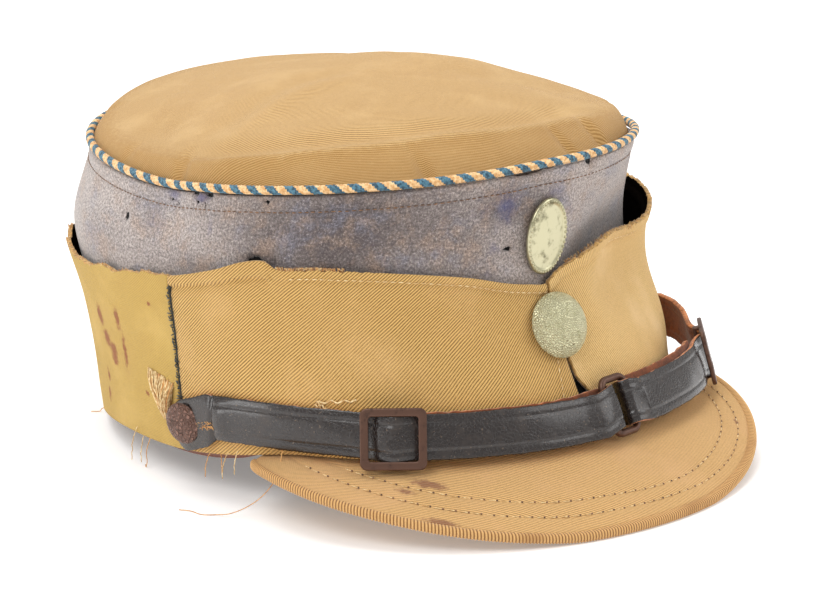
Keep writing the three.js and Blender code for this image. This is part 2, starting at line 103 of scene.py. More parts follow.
# Hollows of the band: theta, level, their spread in degrees and in level, depth outward.
DENTS = ((-35, 0.58, 28, 0.28, -13), (132, 0.72, 42, 0.22, 4.6), (-68, 1, 35, 0.3, -2.5))
CURTAIN_EDGE = Table(
    "theta z out", (-180, 59, 4.6), (-120, 63, 4.6), (-92, 72, 5.2), (-78, 77.2, 6.6), (-68, 76.6, 8),
    (-60, 74.8, 9.2), (-52, 73.2, 10), (-44, 72.6, 10.4), (-36, 73, 10.6), (-30, 74.4, 10.4),
    (-24, 75.2, 9.2),
    (-18, 74.4, 8), (-12, 72.4, 6.2), (-5, 69.4, 3.8), (-1, 66, 3), (4, 67, 2.8), (10, 69, 2.8),
    (20, 73.2, 2.9), (35, 76.6, 3), (50, 77.8, 3.2), (57.8, 77.4, 3.2), (60.6, 79.8, 3.4), (66, 78.8, 3.3),
    (73, 75.2, 3.2), (85, 70.5, 3.2), (95, 68, 3.4),
    (105, 64.5, 3.4), (120, 61.5, 3.6), (140, 62, 3.8), period=360)
CROWN_RISE = Table("reach front side back", (0, 1, 1, 1), (0.3, 0.95, 0.95, 0.87), (0.5, 0.84, 0.86, 0.76),
                   (0.7, 0.67, 0.68, 0.66), (0.85, 0.54, 0.52, 0.57), (0.925, 0.48, 0.4, 0.5),
                   (0.955, 0.42, 0.34, 0.44), (0.98, 0.24, 0.2, 0.25), (1, 0, 0, 0))
CROWN_TOP, CROWN_POLE_Y, CROWN_RIM_DROP, CROWN_INSET = 122.5, 15, 1.2, 1.6
# Folds of the crown: x, y, half length, half width, direction in degrees, height.
CROWN_FOLDS = ((40, -25, 34, 12, -30, -2), (-64, 40, 20, 6, 62, -2.6), (-52, 44, 24, 6, 66, 1.6),
               (-40, -2, 34, 5, 8, 1.1), (-36, 10, 34, 6, 8, -1.2), (30, 2, 30, 30, 0, 2.4),
               (-38, 48, 32, 24, 40, -2.2))
# Where the crown's front edge starts to roll down, as a share of the way from its middle to the seam.
ROLL = Table("theta reach", (-40, 0.97), (-24, 0.905), (-16, 0.885), (-6, 0.875), (8, 0.865), (21, 0.84),
             (35, 0.855), (51, 0.885), (70, 0.935), (84, 0.967), (110, 0.99))
PEAK_EDGE = Table("theta z", (0, 0), (13, 0), (22, 1.9), (30, 4.3), (45, 9.6), (60, 13.6), (68, 13.4))
PEAK_REACH, PEAK_ARC, PEAK_END, PEAK_FULLNESS, PEAK_ROOT = 39.2, 69.4, 67, 0.6, -1.8
BINDING_WIDTH, BINDING_HEIGHT = 3.2, 3.4
PEAK_ROWS = Table("theta outer inner", (-60, 9, 14), (-39, 4, 9.5), (-24, 3.7, 9.4), (-8, 5.2, 10.2),
                  (3, 6, 12), (15, 6.9, 13.4), (26, 7.5, 14.3), (36, 8, 15.2), (52, 10, 17), (60, 11, 18))
SWEATBAND_DROP = Table("theta drop", (0, -1), (60, -0.6), (75, 2.4), (96, 2.4), (115, 0), (140, -0.7),
                       (180, -0.7))
STRAP_RIGHT = Table(
    "theta z out", (89, 21.6, 3.9), (84.5, 22.6, 3.9), (77, 26.6, 3.9), (66, 28, 3.9), (54, 28.2, 3.9),
    (47, 27.9, 4), (43.5, 27.6, 4.6), (41, 27.6, 6.6), (39, 27.6, 7.7), (37, 27.6, 6.9), (34.8, 27.4, 5.8),
    (31, 27.3, 5.6), (20, 26.8, 5.6), (8, 26, 5.9), (0, 25.8, 6.8), (-4, 26, 8.3))
STRAP_RIGHT_RETURN = Table("theta z out", (-4, 26, 4), (0, 25.8, 3.9), (8, 26, 3.8), (20, 26.8, 3.7),
                           (34, 27.4, 3.7))
STRAP_LEFT = Table(
    "theta z out", (-89, 21.6, 3.9), (-84.5, 22.8, 3.9), (-79.5, 26, 4.5), (-74, 29, 8.4),
    (-67, 30.2, 11.4), (-60, 29.4, 12.2), (-53, 27.8, 12), (-50.3, 27.6, 13.9), (-48, 27.6, 15.1),
    (-45.7, 27.6, 14.2), (-43.4, 27.4, 13), (-39.5, 27.2, 12.8), (-34, 27, 11.6), (-26, 26.9, 9.8),
    (-20, 26.8, 8.9), (-16.5, 26.8, 8.4))
STRAP_LEFT_RETURN = Table("theta z out", (-16.5, 26.8, 3.9), (-20, 26.8, 4.5), (-26, 26.9, 5.8),
                          (-34, 27, 8), (-42.5, 27.3, 10.6))
RING = {"width": 13, "height": 20, "wire": 2.4, "corner": 2.5, "theta": -10.5, "z": 26.8, "out": 6.1}
SIDE_BUTTON = {"theta": 84.5, "z": 22.6, "out": 5.2, "radius": 7.2, "rim": 0.8, "dome": 2.0, "stem": 2.5}
FRONT_BUTTON = {"theta": -1.2, "z": 54, "out": 4.7, "radius": 10.5, "rim": 1.0, "dome": 3.6, "stem": 3.8}
BADGE = {"theta": -1.2, "z": 81, "out": 1.5, "width": 18, "height": 25}
SLIDER = {"width": 20.5, "height": 19, "bar": 2.6, "plate": 1.5, "corner": 2.2, "bar_out": -2.1}


def turned(theta):
    return (theta + 180) % 360 - 180


def mix(a, b, t):
    return a + (b - a) * t


def ramp(low, high, value):
    """0 below low, 1 above high and smooth between."""
    t = min(max((value - low) / (high - low), 0), 1)
    return t * t * (3 - 2 * t)


def hem(theta):
    return max(HEM.read("z", abs(turned(theta))), 0)


def seam(theta):
    return SEAM.read("z", abs(turned(theta)))


def band_top(theta):
    return seam(theta) - 1.5 - GAP


def level_of(theta, z):
    return (z - hem(theta)) / (band_top(theta) - hem(theta))


def band(theta, level, out=0.0):
    """Point on the felt band's face, pushed outward by out."""
    sine, cosine = math.sin(math.radians(theta)), math.cos(math.radians(theta))
    round_ = (abs(sine) ** ROUNDNESS + abs(cosine) ** ROUNDNESS) ** (-1 / ROUNDNESS)
    for at, height, arc, span, depth in DENTS:
        out += depth * math.exp(-(turned(theta - at) / arc) ** 2 - ((level - height) / span) ** 2)
    length = OVAL.read("front" if cosine > 0 else "back", level) + out
    side = OVAL.read("side", level) + out
    return Vector((-side * sine * round_, -length * cosine * round_, mix(hem(theta), band_top(theta), level)))


def band_at(theta, z, out=0.0):
    point = band(theta, level_of(theta, z), out)
    point.z = z
    return point


def directions(theta, z, out=0.0):
    """Along the band towards a larger theta, up it, and outward from it."""
    ahead = band_at(theta + 1, z, out) - band_at(theta - 1, z, out)
    ahead.z = 0
    ahead.normalize()
    rise = band_at(theta, z + 5, out) - band_at(theta, z - 5, out)
    outward = rise.cross(ahead).normalized()
    return ahead, ahead.cross(outward), outward


def seat(theta, z, out):
    """Matrix in mm that puts a piece drawn flat, facing +Z, onto the cap."""
    ahead, up, outward = directions(theta, z, out)
    basis = Matrix((-ahead, up, outward)).transposed().to_4x4()
    return Matrix.Translation(band_at(theta, z, out)) @ basis


def curtain_out(theta, v):
    return 2.2 + (CURTAIN_EDGE.read("out", theta) - 2.2) * v ** 1.5


def curtain_point(theta, v, proud=0.0, rise=0.0):
    z = mix(hem(theta), CURTAIN_EDGE.read("z", theta), v)
    return band_at(theta, z + rise, curtain_out(theta, v) + proud)


def on_curtain(theta, z, proud=0.3):
    v = (z - hem(theta)) / (CURTAIN_EDGE.read("z", theta) - hem(theta))
    return band_at(theta, z, curtain_out(theta, min(max(v, 0), 1)) + proud)


def peak_foot(theta):
    return max(PEAK_EDGE.read("z", abs(theta)), 0)


def peak_reach(theta):
    return PEAK_REACH * math.cos(math.radians(theta / PEAK_ARC * 90)) ** PEAK_FULLNESS


def over_peak(theta, distance, z):
    outward = directions(theta, hem(theta) + 5)[2]
    outward.z = 0
    point = band(theta, 0) + outward.normalized() * distance
    point.z = z
    return point


def peak_face(theta, v, proud=0.0):
    """Point on the peak's upper face, from its root (0) to the binding (1)."""
    edge = peak_foot(theta) + (BINDING_HEIGHT + 2.4) / 2
    outer = max(peak_reach(theta) - BINDING_WIDTH + 0.6, 0.5)
    return over_peak(theta, mix(PEAK_ROOT, outer, v), mix(hem(theta) - GAP, edge, v) + proud)


def crown_point(theta, v):
    """Point on the crown's outer face, from its middle (0) to the corded seam (1)."""
    reach = v ** 0.8
    sag = math.exp(-(turned(theta - 128) / 34) ** 2)
    rim = band(theta, 1, 1.2 * sag - CROWN_INSET)
    front = math.cos(math.radians(theta))

    def rise_at(far):
        lengthways = CROWN_RISE.read("front" if front > 0 else "back", far)
        level = mix(CROWN_RISE.read("side", far), lengthways, front ** 2)
        return level * (1 - 0.42 * sag * ramp(0.5, 0.93, far))

    rise = rise_at(reach)
    foot = seam(theta) - CROWN_RIM_DROP
    rolled = ramp(-34, -18, turned(theta)) * (1 - ramp(76, 96, turned(theta)))
    if rolled:
        start = ROLL.read("reach", turned(theta))
        past = (reach - start) / (1 - start)
        if past > 0:
            rise = mix(rise, min(rise, rise_at(start) * (1 - past ** 1.3)), rolled)
        rise += rolled * 0.05 * math.exp(-((reach - start) / 0.024) ** 2) * (1 - ramp(0.6, 1, past))
        rise -= rolled * 0.1 * math.exp(-((reach - start + 0.08) / 0.05) ** 2)
    point = Vector((rim.x * reach, mix(CROWN_POLE_Y, rim.y, reach), mix(foot, CROWN_TOP, rise)))
    inside = 1 - reach ** 6
    for x, y, along, across, turn, height in CROWN_FOLDS:
        dx, dy, turn = point.x - x, point.y - y, math.radians(turn)
        a = (dx * math.cos(turn) + dy * math.sin(turn)) / along
        b = (dy * math.cos(turn) - dx * math.sin(turn)) / across
        point.z += height * inside * math.exp(-a * a - b * b)
    return point


def grain(x, y, z, size):
    """Smooth noise from -1 to 1 with bumps of about that size in mm."""
    return noise.noise(Vector((x, y, z)) / size)


# ---- Wear, stains and painted shade: theta, z, half width and half height in mm, strength --------------

INK = ((90.5, 94.5, 3.4, 3, 1), (81, 95.5, 5, 2.6, 1), (77, 86, 1.6, 3, 0.7), (96, 86, 7, 6, 0.5),
       (10, 93, 12, 8, 0.75), (-4, 94, 10, 6, 0.7), (-10, 88, 5, 8, 0.6), (12, 80, 5, 3, 0.6),
       (14, 72, 3, 2, 0.8))
SOOT = ((45, 88, 40, 16, 0.8), (20, 84, 26, 14, 0.45), (62, 78, 10, 6, 0.8), (8, 93, 16, 7, 0.7),
        (80, 74, 50, 7, 0.4), (96, 84, 10, 9, 0.35))
HOLES_AND_SHADE = ((103.5, 82.5, 1.1, 1.6, 1), (8.5, 79, 2, 0.8, 1), (83, 96.2, 1.6, 1.0, 1), (78.5, 96.4, 2, 0.9, 1),
         (64, 78.2, 3.2, 1.8, 1), (91, 92.2, 0.8, 0.8, 1), (89, 91.6, 0.8, 0.8, 1), (82, 93.4, 0.8, 0.8, 1),
         (79.6, 93.4, 0.8, 0.8, 1), (-15, 102.4, 2.4, 1.8, 1), (62.5, 97, 1.2, 0.8, 1),
         # This last one is no hole: it paints the felt black as painted shade in the deep gap at the front.
         (-6, 29, 6, 9, 1))
RUST = ((112, 38, 2.4, 3, 1), (109.5, 34, 2.2, 4, 1), (113.5, 45, 2, 3.4, 1), (105.5, 47.5, 1.4, 4.6, 0.9),
        (104.5, 37, 1.2, 6, 0.9), (114.5, 24, 1.2, 2.4, 0.9), (115.5, 17, 1.4, 2.6, 0.9),
        (98, 26, 0.9, 0.9, 1), (94, 58, 0.8, 0.9, 1))


def blots(table, theta, z):
    """Largest strength of the blots at a place, 1 in the middle of one and 0 outside."""
    best = 0.0
    for at, height, wide, high, strength in table:
        far = math.hypot(turned(theta - at) * MM_PER_DEGREE / wide, (z - height) / high)
        best = max(best, strength * (1 - far / 2))
    return best


# ---- Making meshes -------------------------------------------------------------------------------------

def new_bmesh(*marks):
    """A bmesh with the cloth's flat places, in mm, as its UV map and one number layer for each mark."""
    bm = bmesh.new()
    bm.loops.layers.uv.new("flat")
    for mark in marks:
        bm.verts.layers.float.new(mark)
    return bm


def lay_grid(bm, columns, rows, place, material=0, weld=True):
    """Lays a grid so that its corner at (u, v) stands at place's point; place also gives its flat place
    in mm and its marks. Returns the grid's faces."""
    flat_layer = bm.loops.layers.uv["flat"]
    corners = bmesh.ops.create_grid(bm, x_segments=columns, y_segments=rows, size=0.5)["verts"]
    flats = {}
    for corner in corners:
        point, flat, *marks = place(corner.co.x + 0.5, corner.co.y + 0.5)
        corner.co = (point + HEAD_BACK) * MM
        flats[corner] = flat
        for name, value in (marks[0] if marks else {}).items():
            corner[bm.verts.layers.float[name]] = value
    faces = list({face for corner in corners for face in corner.link_faces})
    for face in faces:
        face.material_index = material
        face.smooth = True
        for loop in face.loops:
            loop[flat_layer].uv = flats[loop.vert]
    if weld:
        bmesh.ops.remove_doubles(bm, verts=corners, dist=1e-6)
    return [face for face in faces if face.is_valid]


def face_out(bm, faces, centre=Vector((0, 10, 45))):
    """Turns the faces so that most of them look away from the cap's middle."""
    centre = (centre + HEAD_BACK) * MM
    for face in faces:
        face.normal_update()
    away = sum(face.normal.dot(face.calc_center_median() - centre) * face.calc_area() for face in faces)
    if away < 0:
        bmesh.ops.reverse_faces(bm, faces=faces)


def close_ends(bm, faces):
    edges = [e for e in {e for face in faces for e in face.edges} if e.is_boundary]
    ends = bmesh.ops.holes_fill(bm, edges=edges, sides=0)["faces"]
    for end in ends:
        end.smooth = True
    whole = [face for face in faces if face.is_valid] + ends
    bmesh.ops.recalc_face_normals(bm, faces=whole)
    return whole


def lay_rod(bm, points, radius, sides=6, loop=False, hints=None, material=0):
    """A round rod along points in mm; radius is one size or one for each point."""
    count = len(points)
    radii = radius if isinstance(radius, (list, tuple)) else [radius] * count
    frames, side = [], None
    for i, point in enumerate(points):
        before = points[(i - 1) % count] if loop or i else point
        after = points[(i + 1) % count] if loop or i < count - 1 else point
        tangent = (after - before).normalized()
        if hints:
            side = hints[i]
        elif side is None:
            side = tangent.orthogonal()
        side = (side - tangent * side.dot(tangent)).normalized()
        frames.append((point, side, tangent.cross(side), radii[i]))

    def place(u, v):
        i = round(u * (count if loop else count - 1))
        point, a, b, size = frames[i % count]
        turn = 2 * math.pi * (v % 1.0)
        return point + (a * math.cos(turn) + b * math.sin(turn)) * size, (i, v)

    faces = lay_grid(bm, count if loop else count - 1, sides, place, material)
    return close_ends(bm, faces) if not loop else faces


def lay_stitch(bm, start, end, radius, material=0):
    """One plump stitch between two points in mm."""
    along = end - start
    middle = ((start + end) / 2 + HEAD_BACK) * MM
    turn = along.to_track_quat("Z", "Y").to_matrix().to_4x4()
    size = Matrix.Diagonal((radius * MM, radius * MM, along.length / 2 * MM, 1))
    made = bmesh.ops.create_uvsphere(bm, u_segments=6, v_segments=4, radius=1,
                                     matrix=Matrix.Translation(middle) @ turn @ size)
    for face in {face for vert in made["verts"] for face in vert.link_faces}:
        face.material_index = material
        face.smooth = True


def stitch_along(bm, points, length, pitch, radius, material=0, wander=0.0, seed=1):
    """A row of stitches along a line of points in mm."""
    chance = random.Random(seed)
    lengths = [0.0]
    for a, b in zip(points, points[1:]):
        lengths.append(lengths[-1] + (b - a).length)

    def at(distance):
        i = min(max(bisect.bisect_right(lengths, distance) - 1, 0), len(points) - 2)
        return points[i].lerp(points[i + 1], (distance - lengths[i]) / (lengths[i + 1] - lengths[i]))

    for k in range(int(lengths[-1] / pitch)):
        nudge = Vector(chance.uniform(-wander, wander) for _ in range(3))
        lay_stitch(bm, at(k * pitch) + nudge, at(k * pitch + length) + nudge, radius, material)


def make_piece(bm, name, materials, replaces=(), thickness=0.0, offset=-1.0, backs=(0, 0)):
    """Turns the bmesh into an object that rides on the cap. The materials are named by their finishes,
    and thickness in mm gives a sheet its wall."""
    mesh = bpy.data.meshes.new(name)
    bm.to_mesh(mesh)
    bm.free()
    piece = bpy.data.objects.new(name, mesh)
    bpy.context.scene.collection.objects.link(piece)
    for key in materials.split():
        mesh.materials.append(material_named(key))
    if thickness:
        wall = piece.modifiers.new("Wall", "SOLIDIFY")
        wall.thickness = thickness * MM
        wall.offset = offset
        wall.use_even_offset = True
        wall.material_offset, wall.material_offset_rim = backs
    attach(piece, "root")
    if replaces:
        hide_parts(*replaces)
    return piece


# ---- Making materials ----------------------------------------------------------------------------------

def linear(code):
    """An sRGB hex colour as linear red, green and blue."""
    values = [int(code[i:i + 2], 16) / 255 for i in (1, 3, 5)]
    return tuple(v / 12.92 if v <= 0.04045 else ((v + 0.055) / 1.055) ** 2.4 for v in values)


def add(tree, kind, settings=None, inputs=None):
    """Adds a node with its settings; inputs take values or other nodes' outputs."""
    made = tree.nodes.new("ShaderNode" + kind)
    for name, value in (settings or {}).items():
        setattr(made, name, value)
    for key, value in (inputs or {}).items():
        if isinstance(value, bpy.types.NodeSocket):
            tree.links.new(value, made.inputs[key])
        else:
            made.inputs[key].default_value = value
    return made


def start_material(name, **settings):
    """A new material and its tree and main shader, with the shader's fixed values set."""
    material = bpy.data.materials.new(name)
    material.use_nodes = True
    tree = material.node_tree
    shader = tree.nodes["Principled BSDF"]
    for key, value in settings.items():
        shader.inputs[key.replace("_", " ")].default_value = value
    return material, tree, shader


def math_of(tree, operation, a, b=0.0, c=0.0):
    return add(tree, "Math", {"operation": operation}, {0: a, 1: b, 2: c}).outputs[0]


def blend_of(tree, amount, a, b):
    made = add(tree, "Mix", {"data_type": "RGBA"}, {0: amount})
    for key, value in ((6, a), (7, b)):
        if isinstance(value, bpy.types.NodeSocket):
            tree.links.new(value, made.inputs[key])
        else:
            made.inputs[key].default_value = (*value, 1)
    return made.outputs[2]


def speckle_of(tree, where, scale, detail=2.0, roughness=0.5):
    return add(tree, "TexNoise", None, {"Vector": where, "Scale": scale, "Detail": detail,
                                        "Roughness": roughness}).outputs[0]


def spread_of(tree, value, low, high):
    """0 below low and 1 above high."""
    return add(tree, "MapRange", {"interpolation_type": "SMOOTHSTEP"},
               {0: value, 1: low, 2: high, 3: 0.0, 4: 1.0}).outputs[0]


def set_bump(tree, shader, height, distance, strength=1.0):
    bump = add(tree, "Bump", None, {"Height": height, "Distance": distance * MM, "Strength": strength})
    tree.links.new(bump.outputs[0], shader.inputs["Normal"])


def mark_of(tree, name):
    return add(tree, "Attribute", {"attribute_name": name}).outputs["Fac"]


def flat_of(tree):
    """The cloth's flat places, in mm."""
    return add(tree, "UVMap", {"uv_map": "flat"}).outputs[0]


def place_of(tree):
    """Places on the cap, in metres."""
    return add(tree, "TexCoord").outputs["Object"]


def cells_of(tree, where, scale):
    """0 on the borders between cells and higher inside them."""
    cells = add(tree, "TexVoronoi", {"feature": "DISTANCE_TO_EDGE"}, {"Vector": where, "Scale": scale})
    return cells.outputs["Distance"]


def wave_of(tree, kind, value):
    """A sine or cosine of a number of turns, running from 0 to 1."""
    turn = math_of(tree, "MULTIPLY", value, 2 * math.pi)
    return math_of(tree, "MULTIPLY_ADD", math_of(tree, kind, turn), 0.5, 0.5)


def tint_of(tree, cloth, amount, strength, colour):
    """The cloth's colour, moved towards another one by amount times strength."""
    return blend_of(tree, math_of(tree, "MULTIPLY", amount, strength), cloth, linear(colour))


def twill_material(name, colour, valley, slope, pitch, faded, marks=()):
    """Cotton twill drill, woven with raised diagonal ribs and faded by wear: matt ribs with a painted
    highlight where they catch the light and painted shade in the dark lines between them, slubs along the
    yarn, paler rubbed places, and the colours of its marks: rust stains, and painted shade on the crown."""
    material, tree, shader = start_material(name, Roughness=0.88, Sheen_Weight=0.12, Sheen_Roughness=0.5)
    shader.inputs["Specular IOR Level"].default_value = 0.25
    flat = flat_of(tree)
    angle = math.radians(slope)
    yarn_pitch = pitch * 0.8

    def count_of(x, y):
        made = add(tree, "VectorMath", {"operation": "DOT_PRODUCT"}, {0: flat, 1: (x, y, 0)})
        return made.outputs["Value"]

    across = count_of(-math.sin(angle) / pitch, math.cos(angle) / pitch)
    along = count_of(math.cos(angle) / yarn_pitch, math.sin(angle) / yarn_pitch)
    wander = math_of(tree, "MULTIPLY", speckle_of(tree, flat, 0.05, 2), 1.6)
    phase = math_of(tree, "ADD", across, wander)
    rib = wave_of(tree, "SINE", phase)
    step = math_of(tree, "MULTIPLY_ADD", math_of(tree, "FLOOR", phase), 0.37, along)
    yarn = wave_of(tree, "SINE", step)
    slub = speckle_of(tree, flat, 1.1, 3, 0.65)
    height = math_of(tree, "MULTIPLY_ADD", yarn, 0.22, math_of(tree, "MULTIPLY_ADD", slub, 0.35, rib))
    set_bump(tree, shader, height, 0.2, 0.9)
    # Painted highlight on the ribs and painted shade in the valleys between them.
    lit = spread_of(tree, math_of(tree, "MULTIPLY_ADD", slub, 0.7, rib), 0.15, 1.15)
    cloth = blend_of(tree, lit, linear(valley), linear(colour))
    worn = spread_of(tree, speckle_of(tree, flat, 0.035, 4, 0.6), 0.45, 0.75)
    cloth = tint_of(tree, cloth, worn, 0.5, faded)
    dirt = spread_of(tree, speckle_of(tree, flat, 0.02, 5, 0.65), 0.5, 0.8)
    cloth = tint_of(tree, cloth, dirt, 0.35, "#a97f4b")
    # Each mark tints the cloth towards its colour: the rust marks are real stains, the crown's fold mark is
    # painted shade.
    for mark, stain_and_shade, strength in marks:
        rough = math_of(tree, "MULTIPLY_ADD", speckle_of(tree, flat, 0.4, 5, 0.75), 1.3, mark_of(tree, mark))
        shown = math_of(tree, "MULTIPLY", spread_of(tree, rough, 0.95, 1.4), strength)
        cloth = blend_of(tree, shown, cloth, linear(stain_and_shade))
    tree.links.new(cloth, shader.inputs["Base Color"])
    return material


def felt_material():
    """Wool felt, milled until its fibres mat together: no weave, a soft matt nap with pale and dark fibres
    mixed, rubbed pale patches, ink that has soaked in with feathered edges, and black in the moth holes and
    as painted shade in the deep gap at the front."""
    material, tree, shader = start_material("Grey wool felt", Roughness=0.95, Sheen_Weight=0.35,
                                            Sheen_Roughness=0.4)
    shader.inputs["Specular IOR Level"].default_value = 0.15
    flat = flat_of(tree)
    fibre = speckle_of(tree, flat, 1.15, 4, 0.85)
    patch = speckle_of(tree, flat, 0.045, 5, 0.6)
    pepper = speckle_of(tree, flat, 0.3, 4, 0.75)
    patchy = math_of(tree, "MULTIPLY_ADD", patch, 0.5, mark_of(tree, "soot"))
    sooty = math_of(tree, "MULTIPLY_ADD", pepper, 0.5, patchy)
    cloth = blend_of(tree, spread_of(tree, sooty, 0.45, 1.25), linear("#cbbfb9"), linear("#6c6362"))
    warm = spread_of(tree, speckle_of(tree, flat, 0.09, 4, 0.65), 0.46, 0.66)
    cloth = tint_of(tree, cloth, warm, 0.5, "#c4a893")
    cool = spread_of(tree, speckle_of(tree, flat, 0.06, 5, 0.7), 0.5, 0.68)
    cloth = tint_of(tree, cloth, cool, 0.4, "#8d93a8")
    fleck = spread_of(tree, fibre, 0.36, 0.64)
    cloth = blend_of(tree, math_of(tree, "MULTIPLY_ADD", fleck, -0.75, 0.75), cloth, linear("#453e3d"))
    light = spread_of(tree, fibre, 0.55, 0.75)
    cloth = tint_of(tree, cloth, light, 0.55, "#e8deda")
    ragged = math_of(tree, "MULTIPLY", speckle_of(tree, flat, 0.5, 4, 0.7), 0.8)
    soaked = math_of(tree, "MULTIPLY_ADD", speckle_of(tree, flat, 0.16, 5, 0.75), 1.3, mark_of(tree, "ink"))
    ink = spread_of(tree, soaked, 1.0, 1.75)
    cloth = tint_of(tree, cloth, ink, 0.8, "#4f5078")
    # Black in the moth holes, and painted black shade in the deep gap between the curtain pieces at the
    # front.
    hole_and_shade = spread_of(tree, math_of(tree, "ADD", mark_of(tree, "hole_and_shade"), ragged), 0.9, 1.02)
    cloth = blend_of(tree, hole_and_shade, cloth, linear("#0d0a09"))
    tree.links.new(cloth, shader.inputs["Base Color"])
    set_bump(tree, shader, math_of(tree, "MULTIPLY_ADD", hole_and_shade, -2.0, fibre), 0.35, 0.8)
    return material


def thread_material(name, colour, shade):
    """Spun cotton thread: a soft matt strand whose plies show as fine darker turns."""
    material, tree, shader = start_material(name, Roughness=0.8, Sheen_Weight=0.2)
    where = place_of(tree)
    ply = spread_of(tree, speckle_of(tree, where, 900, 2), 0.35, 0.65)
    tree.links.new(blend_of(tree, ply, linear(shade), linear(colour)), shader.inputs["Base Color"])
    set_bump(tree, shader, ply, 0.08, 0.6)
    return material


def ribbed_material():
    """Ribbed cotton tape, woven over stout cords and folded over the edge: even rounded ribs, matt, with
    painted shade darkening the gaps between them, and a few brown stains."""
    material, tree, shader = start_material("Ribbed cotton binding", Roughness=0.85, Sheen_Weight=0.15)
    flat = flat_of(tree)
    ribs = add(tree, "SeparateXYZ", None, {0: flat}).outputs["X"]
    rib = wave_of(tree, "COSINE", ribs)
    where = place_of(tree)
    grime = spread_of(tree, speckle_of(tree, where, 60, 4, 0.6), 0.48, 0.72)
    # Painted shade in the gaps between the ribs, with their tops lighter.
    tape = blend_of(tree, spread_of(tree, rib, 0.0, 0.7), linear("#80572c"), linear("#d0a368"))
    tape = tint_of(tree, tape, grime, 0.45, "#96683a")
    tree.links.new(tape, shader.inputs["Base Color"])
    set_bump(tree, shader, speckle_of(tree, where, 1800, 3, 0.6), 0.08, 0.6)
    return material


def leather_material(name, colour, worn, crack, rough, grit):
    """Vegetable-tanned cowhide, dyed dark and waxed on the grain side: a close smooth grain with a dull
    shine, dusty scuffs and small cracks where it has been bent."""
    material, tree, shader = start_material(name, Coat_Weight=0.45, Coat_Roughness=0.16)
    where = place_of(tree)
    pores = cells_of(tree, where, grit)
    scuff = spread_of(tree, speckle_of(tree, where, 140, 5, 0.7), 0.5, 0.72)
    dust = spread_of(tree, speckle_of(tree, where, 1500, 2), 0.66, 0.74)
    skin = tint_of(tree, linear(colour), scuff, 0.6, worn)
    skin = tint_of(tree, skin, dust, 0.5, crack)
    tree.links.new(skin, shader.inputs["Base Color"])
    shine = math_of(tree, "MULTIPLY_ADD", scuff, 0.18, rough)
    tree.links.new(shine, shader.inputs["Roughness"])
    creases = speckle_of(tree, where, 260, 4, 0.6)
    height = math_of(tree, "MULTIPLY_ADD", creases, 1.2, spread_of(tree, pores, 0.0, 0.12))
    set_bump(tree, shader, height, 0.07, 0.6)
    return material


def suede_material(name, colour, pale):
    """The flesh side and cut edge of the hide: undyed, fibrous and quite matt."""
    material, tree, shader = start_material(name, Roughness=0.9, Sheen_Weight=0.2)
    where = place_of(tree)
    fibre = speckle_of(tree, where, 700, 5, 0.7)
    blotch = speckle_of(tree, where, 120, 4, 0.6)
    shown = spread_of(tree, math_of(tree, "MULTIPLY_ADD", blotch, 0.8, fibre), 0.6, 1.15)
    tree.links.new(blend_of(tree, shown, linear(colour), linear(pale)), shader.inputs["Base Color"])
    set_bump(tree, shader, fibre, 0.2, 0.8)
    return material


def metal_material(name, colour, tarnish, rough, metallic, pebble, amount):
    """Stamped sheet metal with an old finish: metallic where it is rubbed, dull and darker where the
    tarnish sits, and stippled by the stamping die."""
    material, tree, shader = start_material(name, Metallic=metallic)
    where = place_of(tree)
    blotch = spread_of(tree, speckle_of(tree, where, 260, 5, 0.65), 0.5, 0.72)
    fine = speckle_of(tree, where, 1400, 3, 0.6)
    skin = tint_of(tree, linear(colour), blotch, 0.8, tarnish)
    tree.links.new(math_of(tree, "MULTIPLY_ADD", blotch, 0.22, rough), shader.inputs["Roughness"])
    height = fine
    if pebble:
        raised = spread_of(tree, cells_of(tree, where, pebble), 0.0, 0.3)
        height = math_of(tree, "MULTIPLY_ADD", fine, 0.3, raised)
        skin = blend_of(tree, math_of(tree, "MULTIPLY_ADD", raised, -0.55, 0.55), skin, linear(tarnish))
    tree.links.new(skin, shader.inputs["Base Color"])
    set_bump(tree, shader, height, amount, 0.9)
    return material


def shade_black_material():
    """Painted black shade on the inside face of the curtain pieces, deep in the fold: even, matt and too dark
    for any threads to show.
    """
    material, _, shader = start_material("Painted black shade", Roughness=1.0)
    shader.inputs["Specular IOR Level"].default_value = 0.0
    shader.inputs["Base Color"].default_value = (*linear("#100c0a"), 1)
    return material


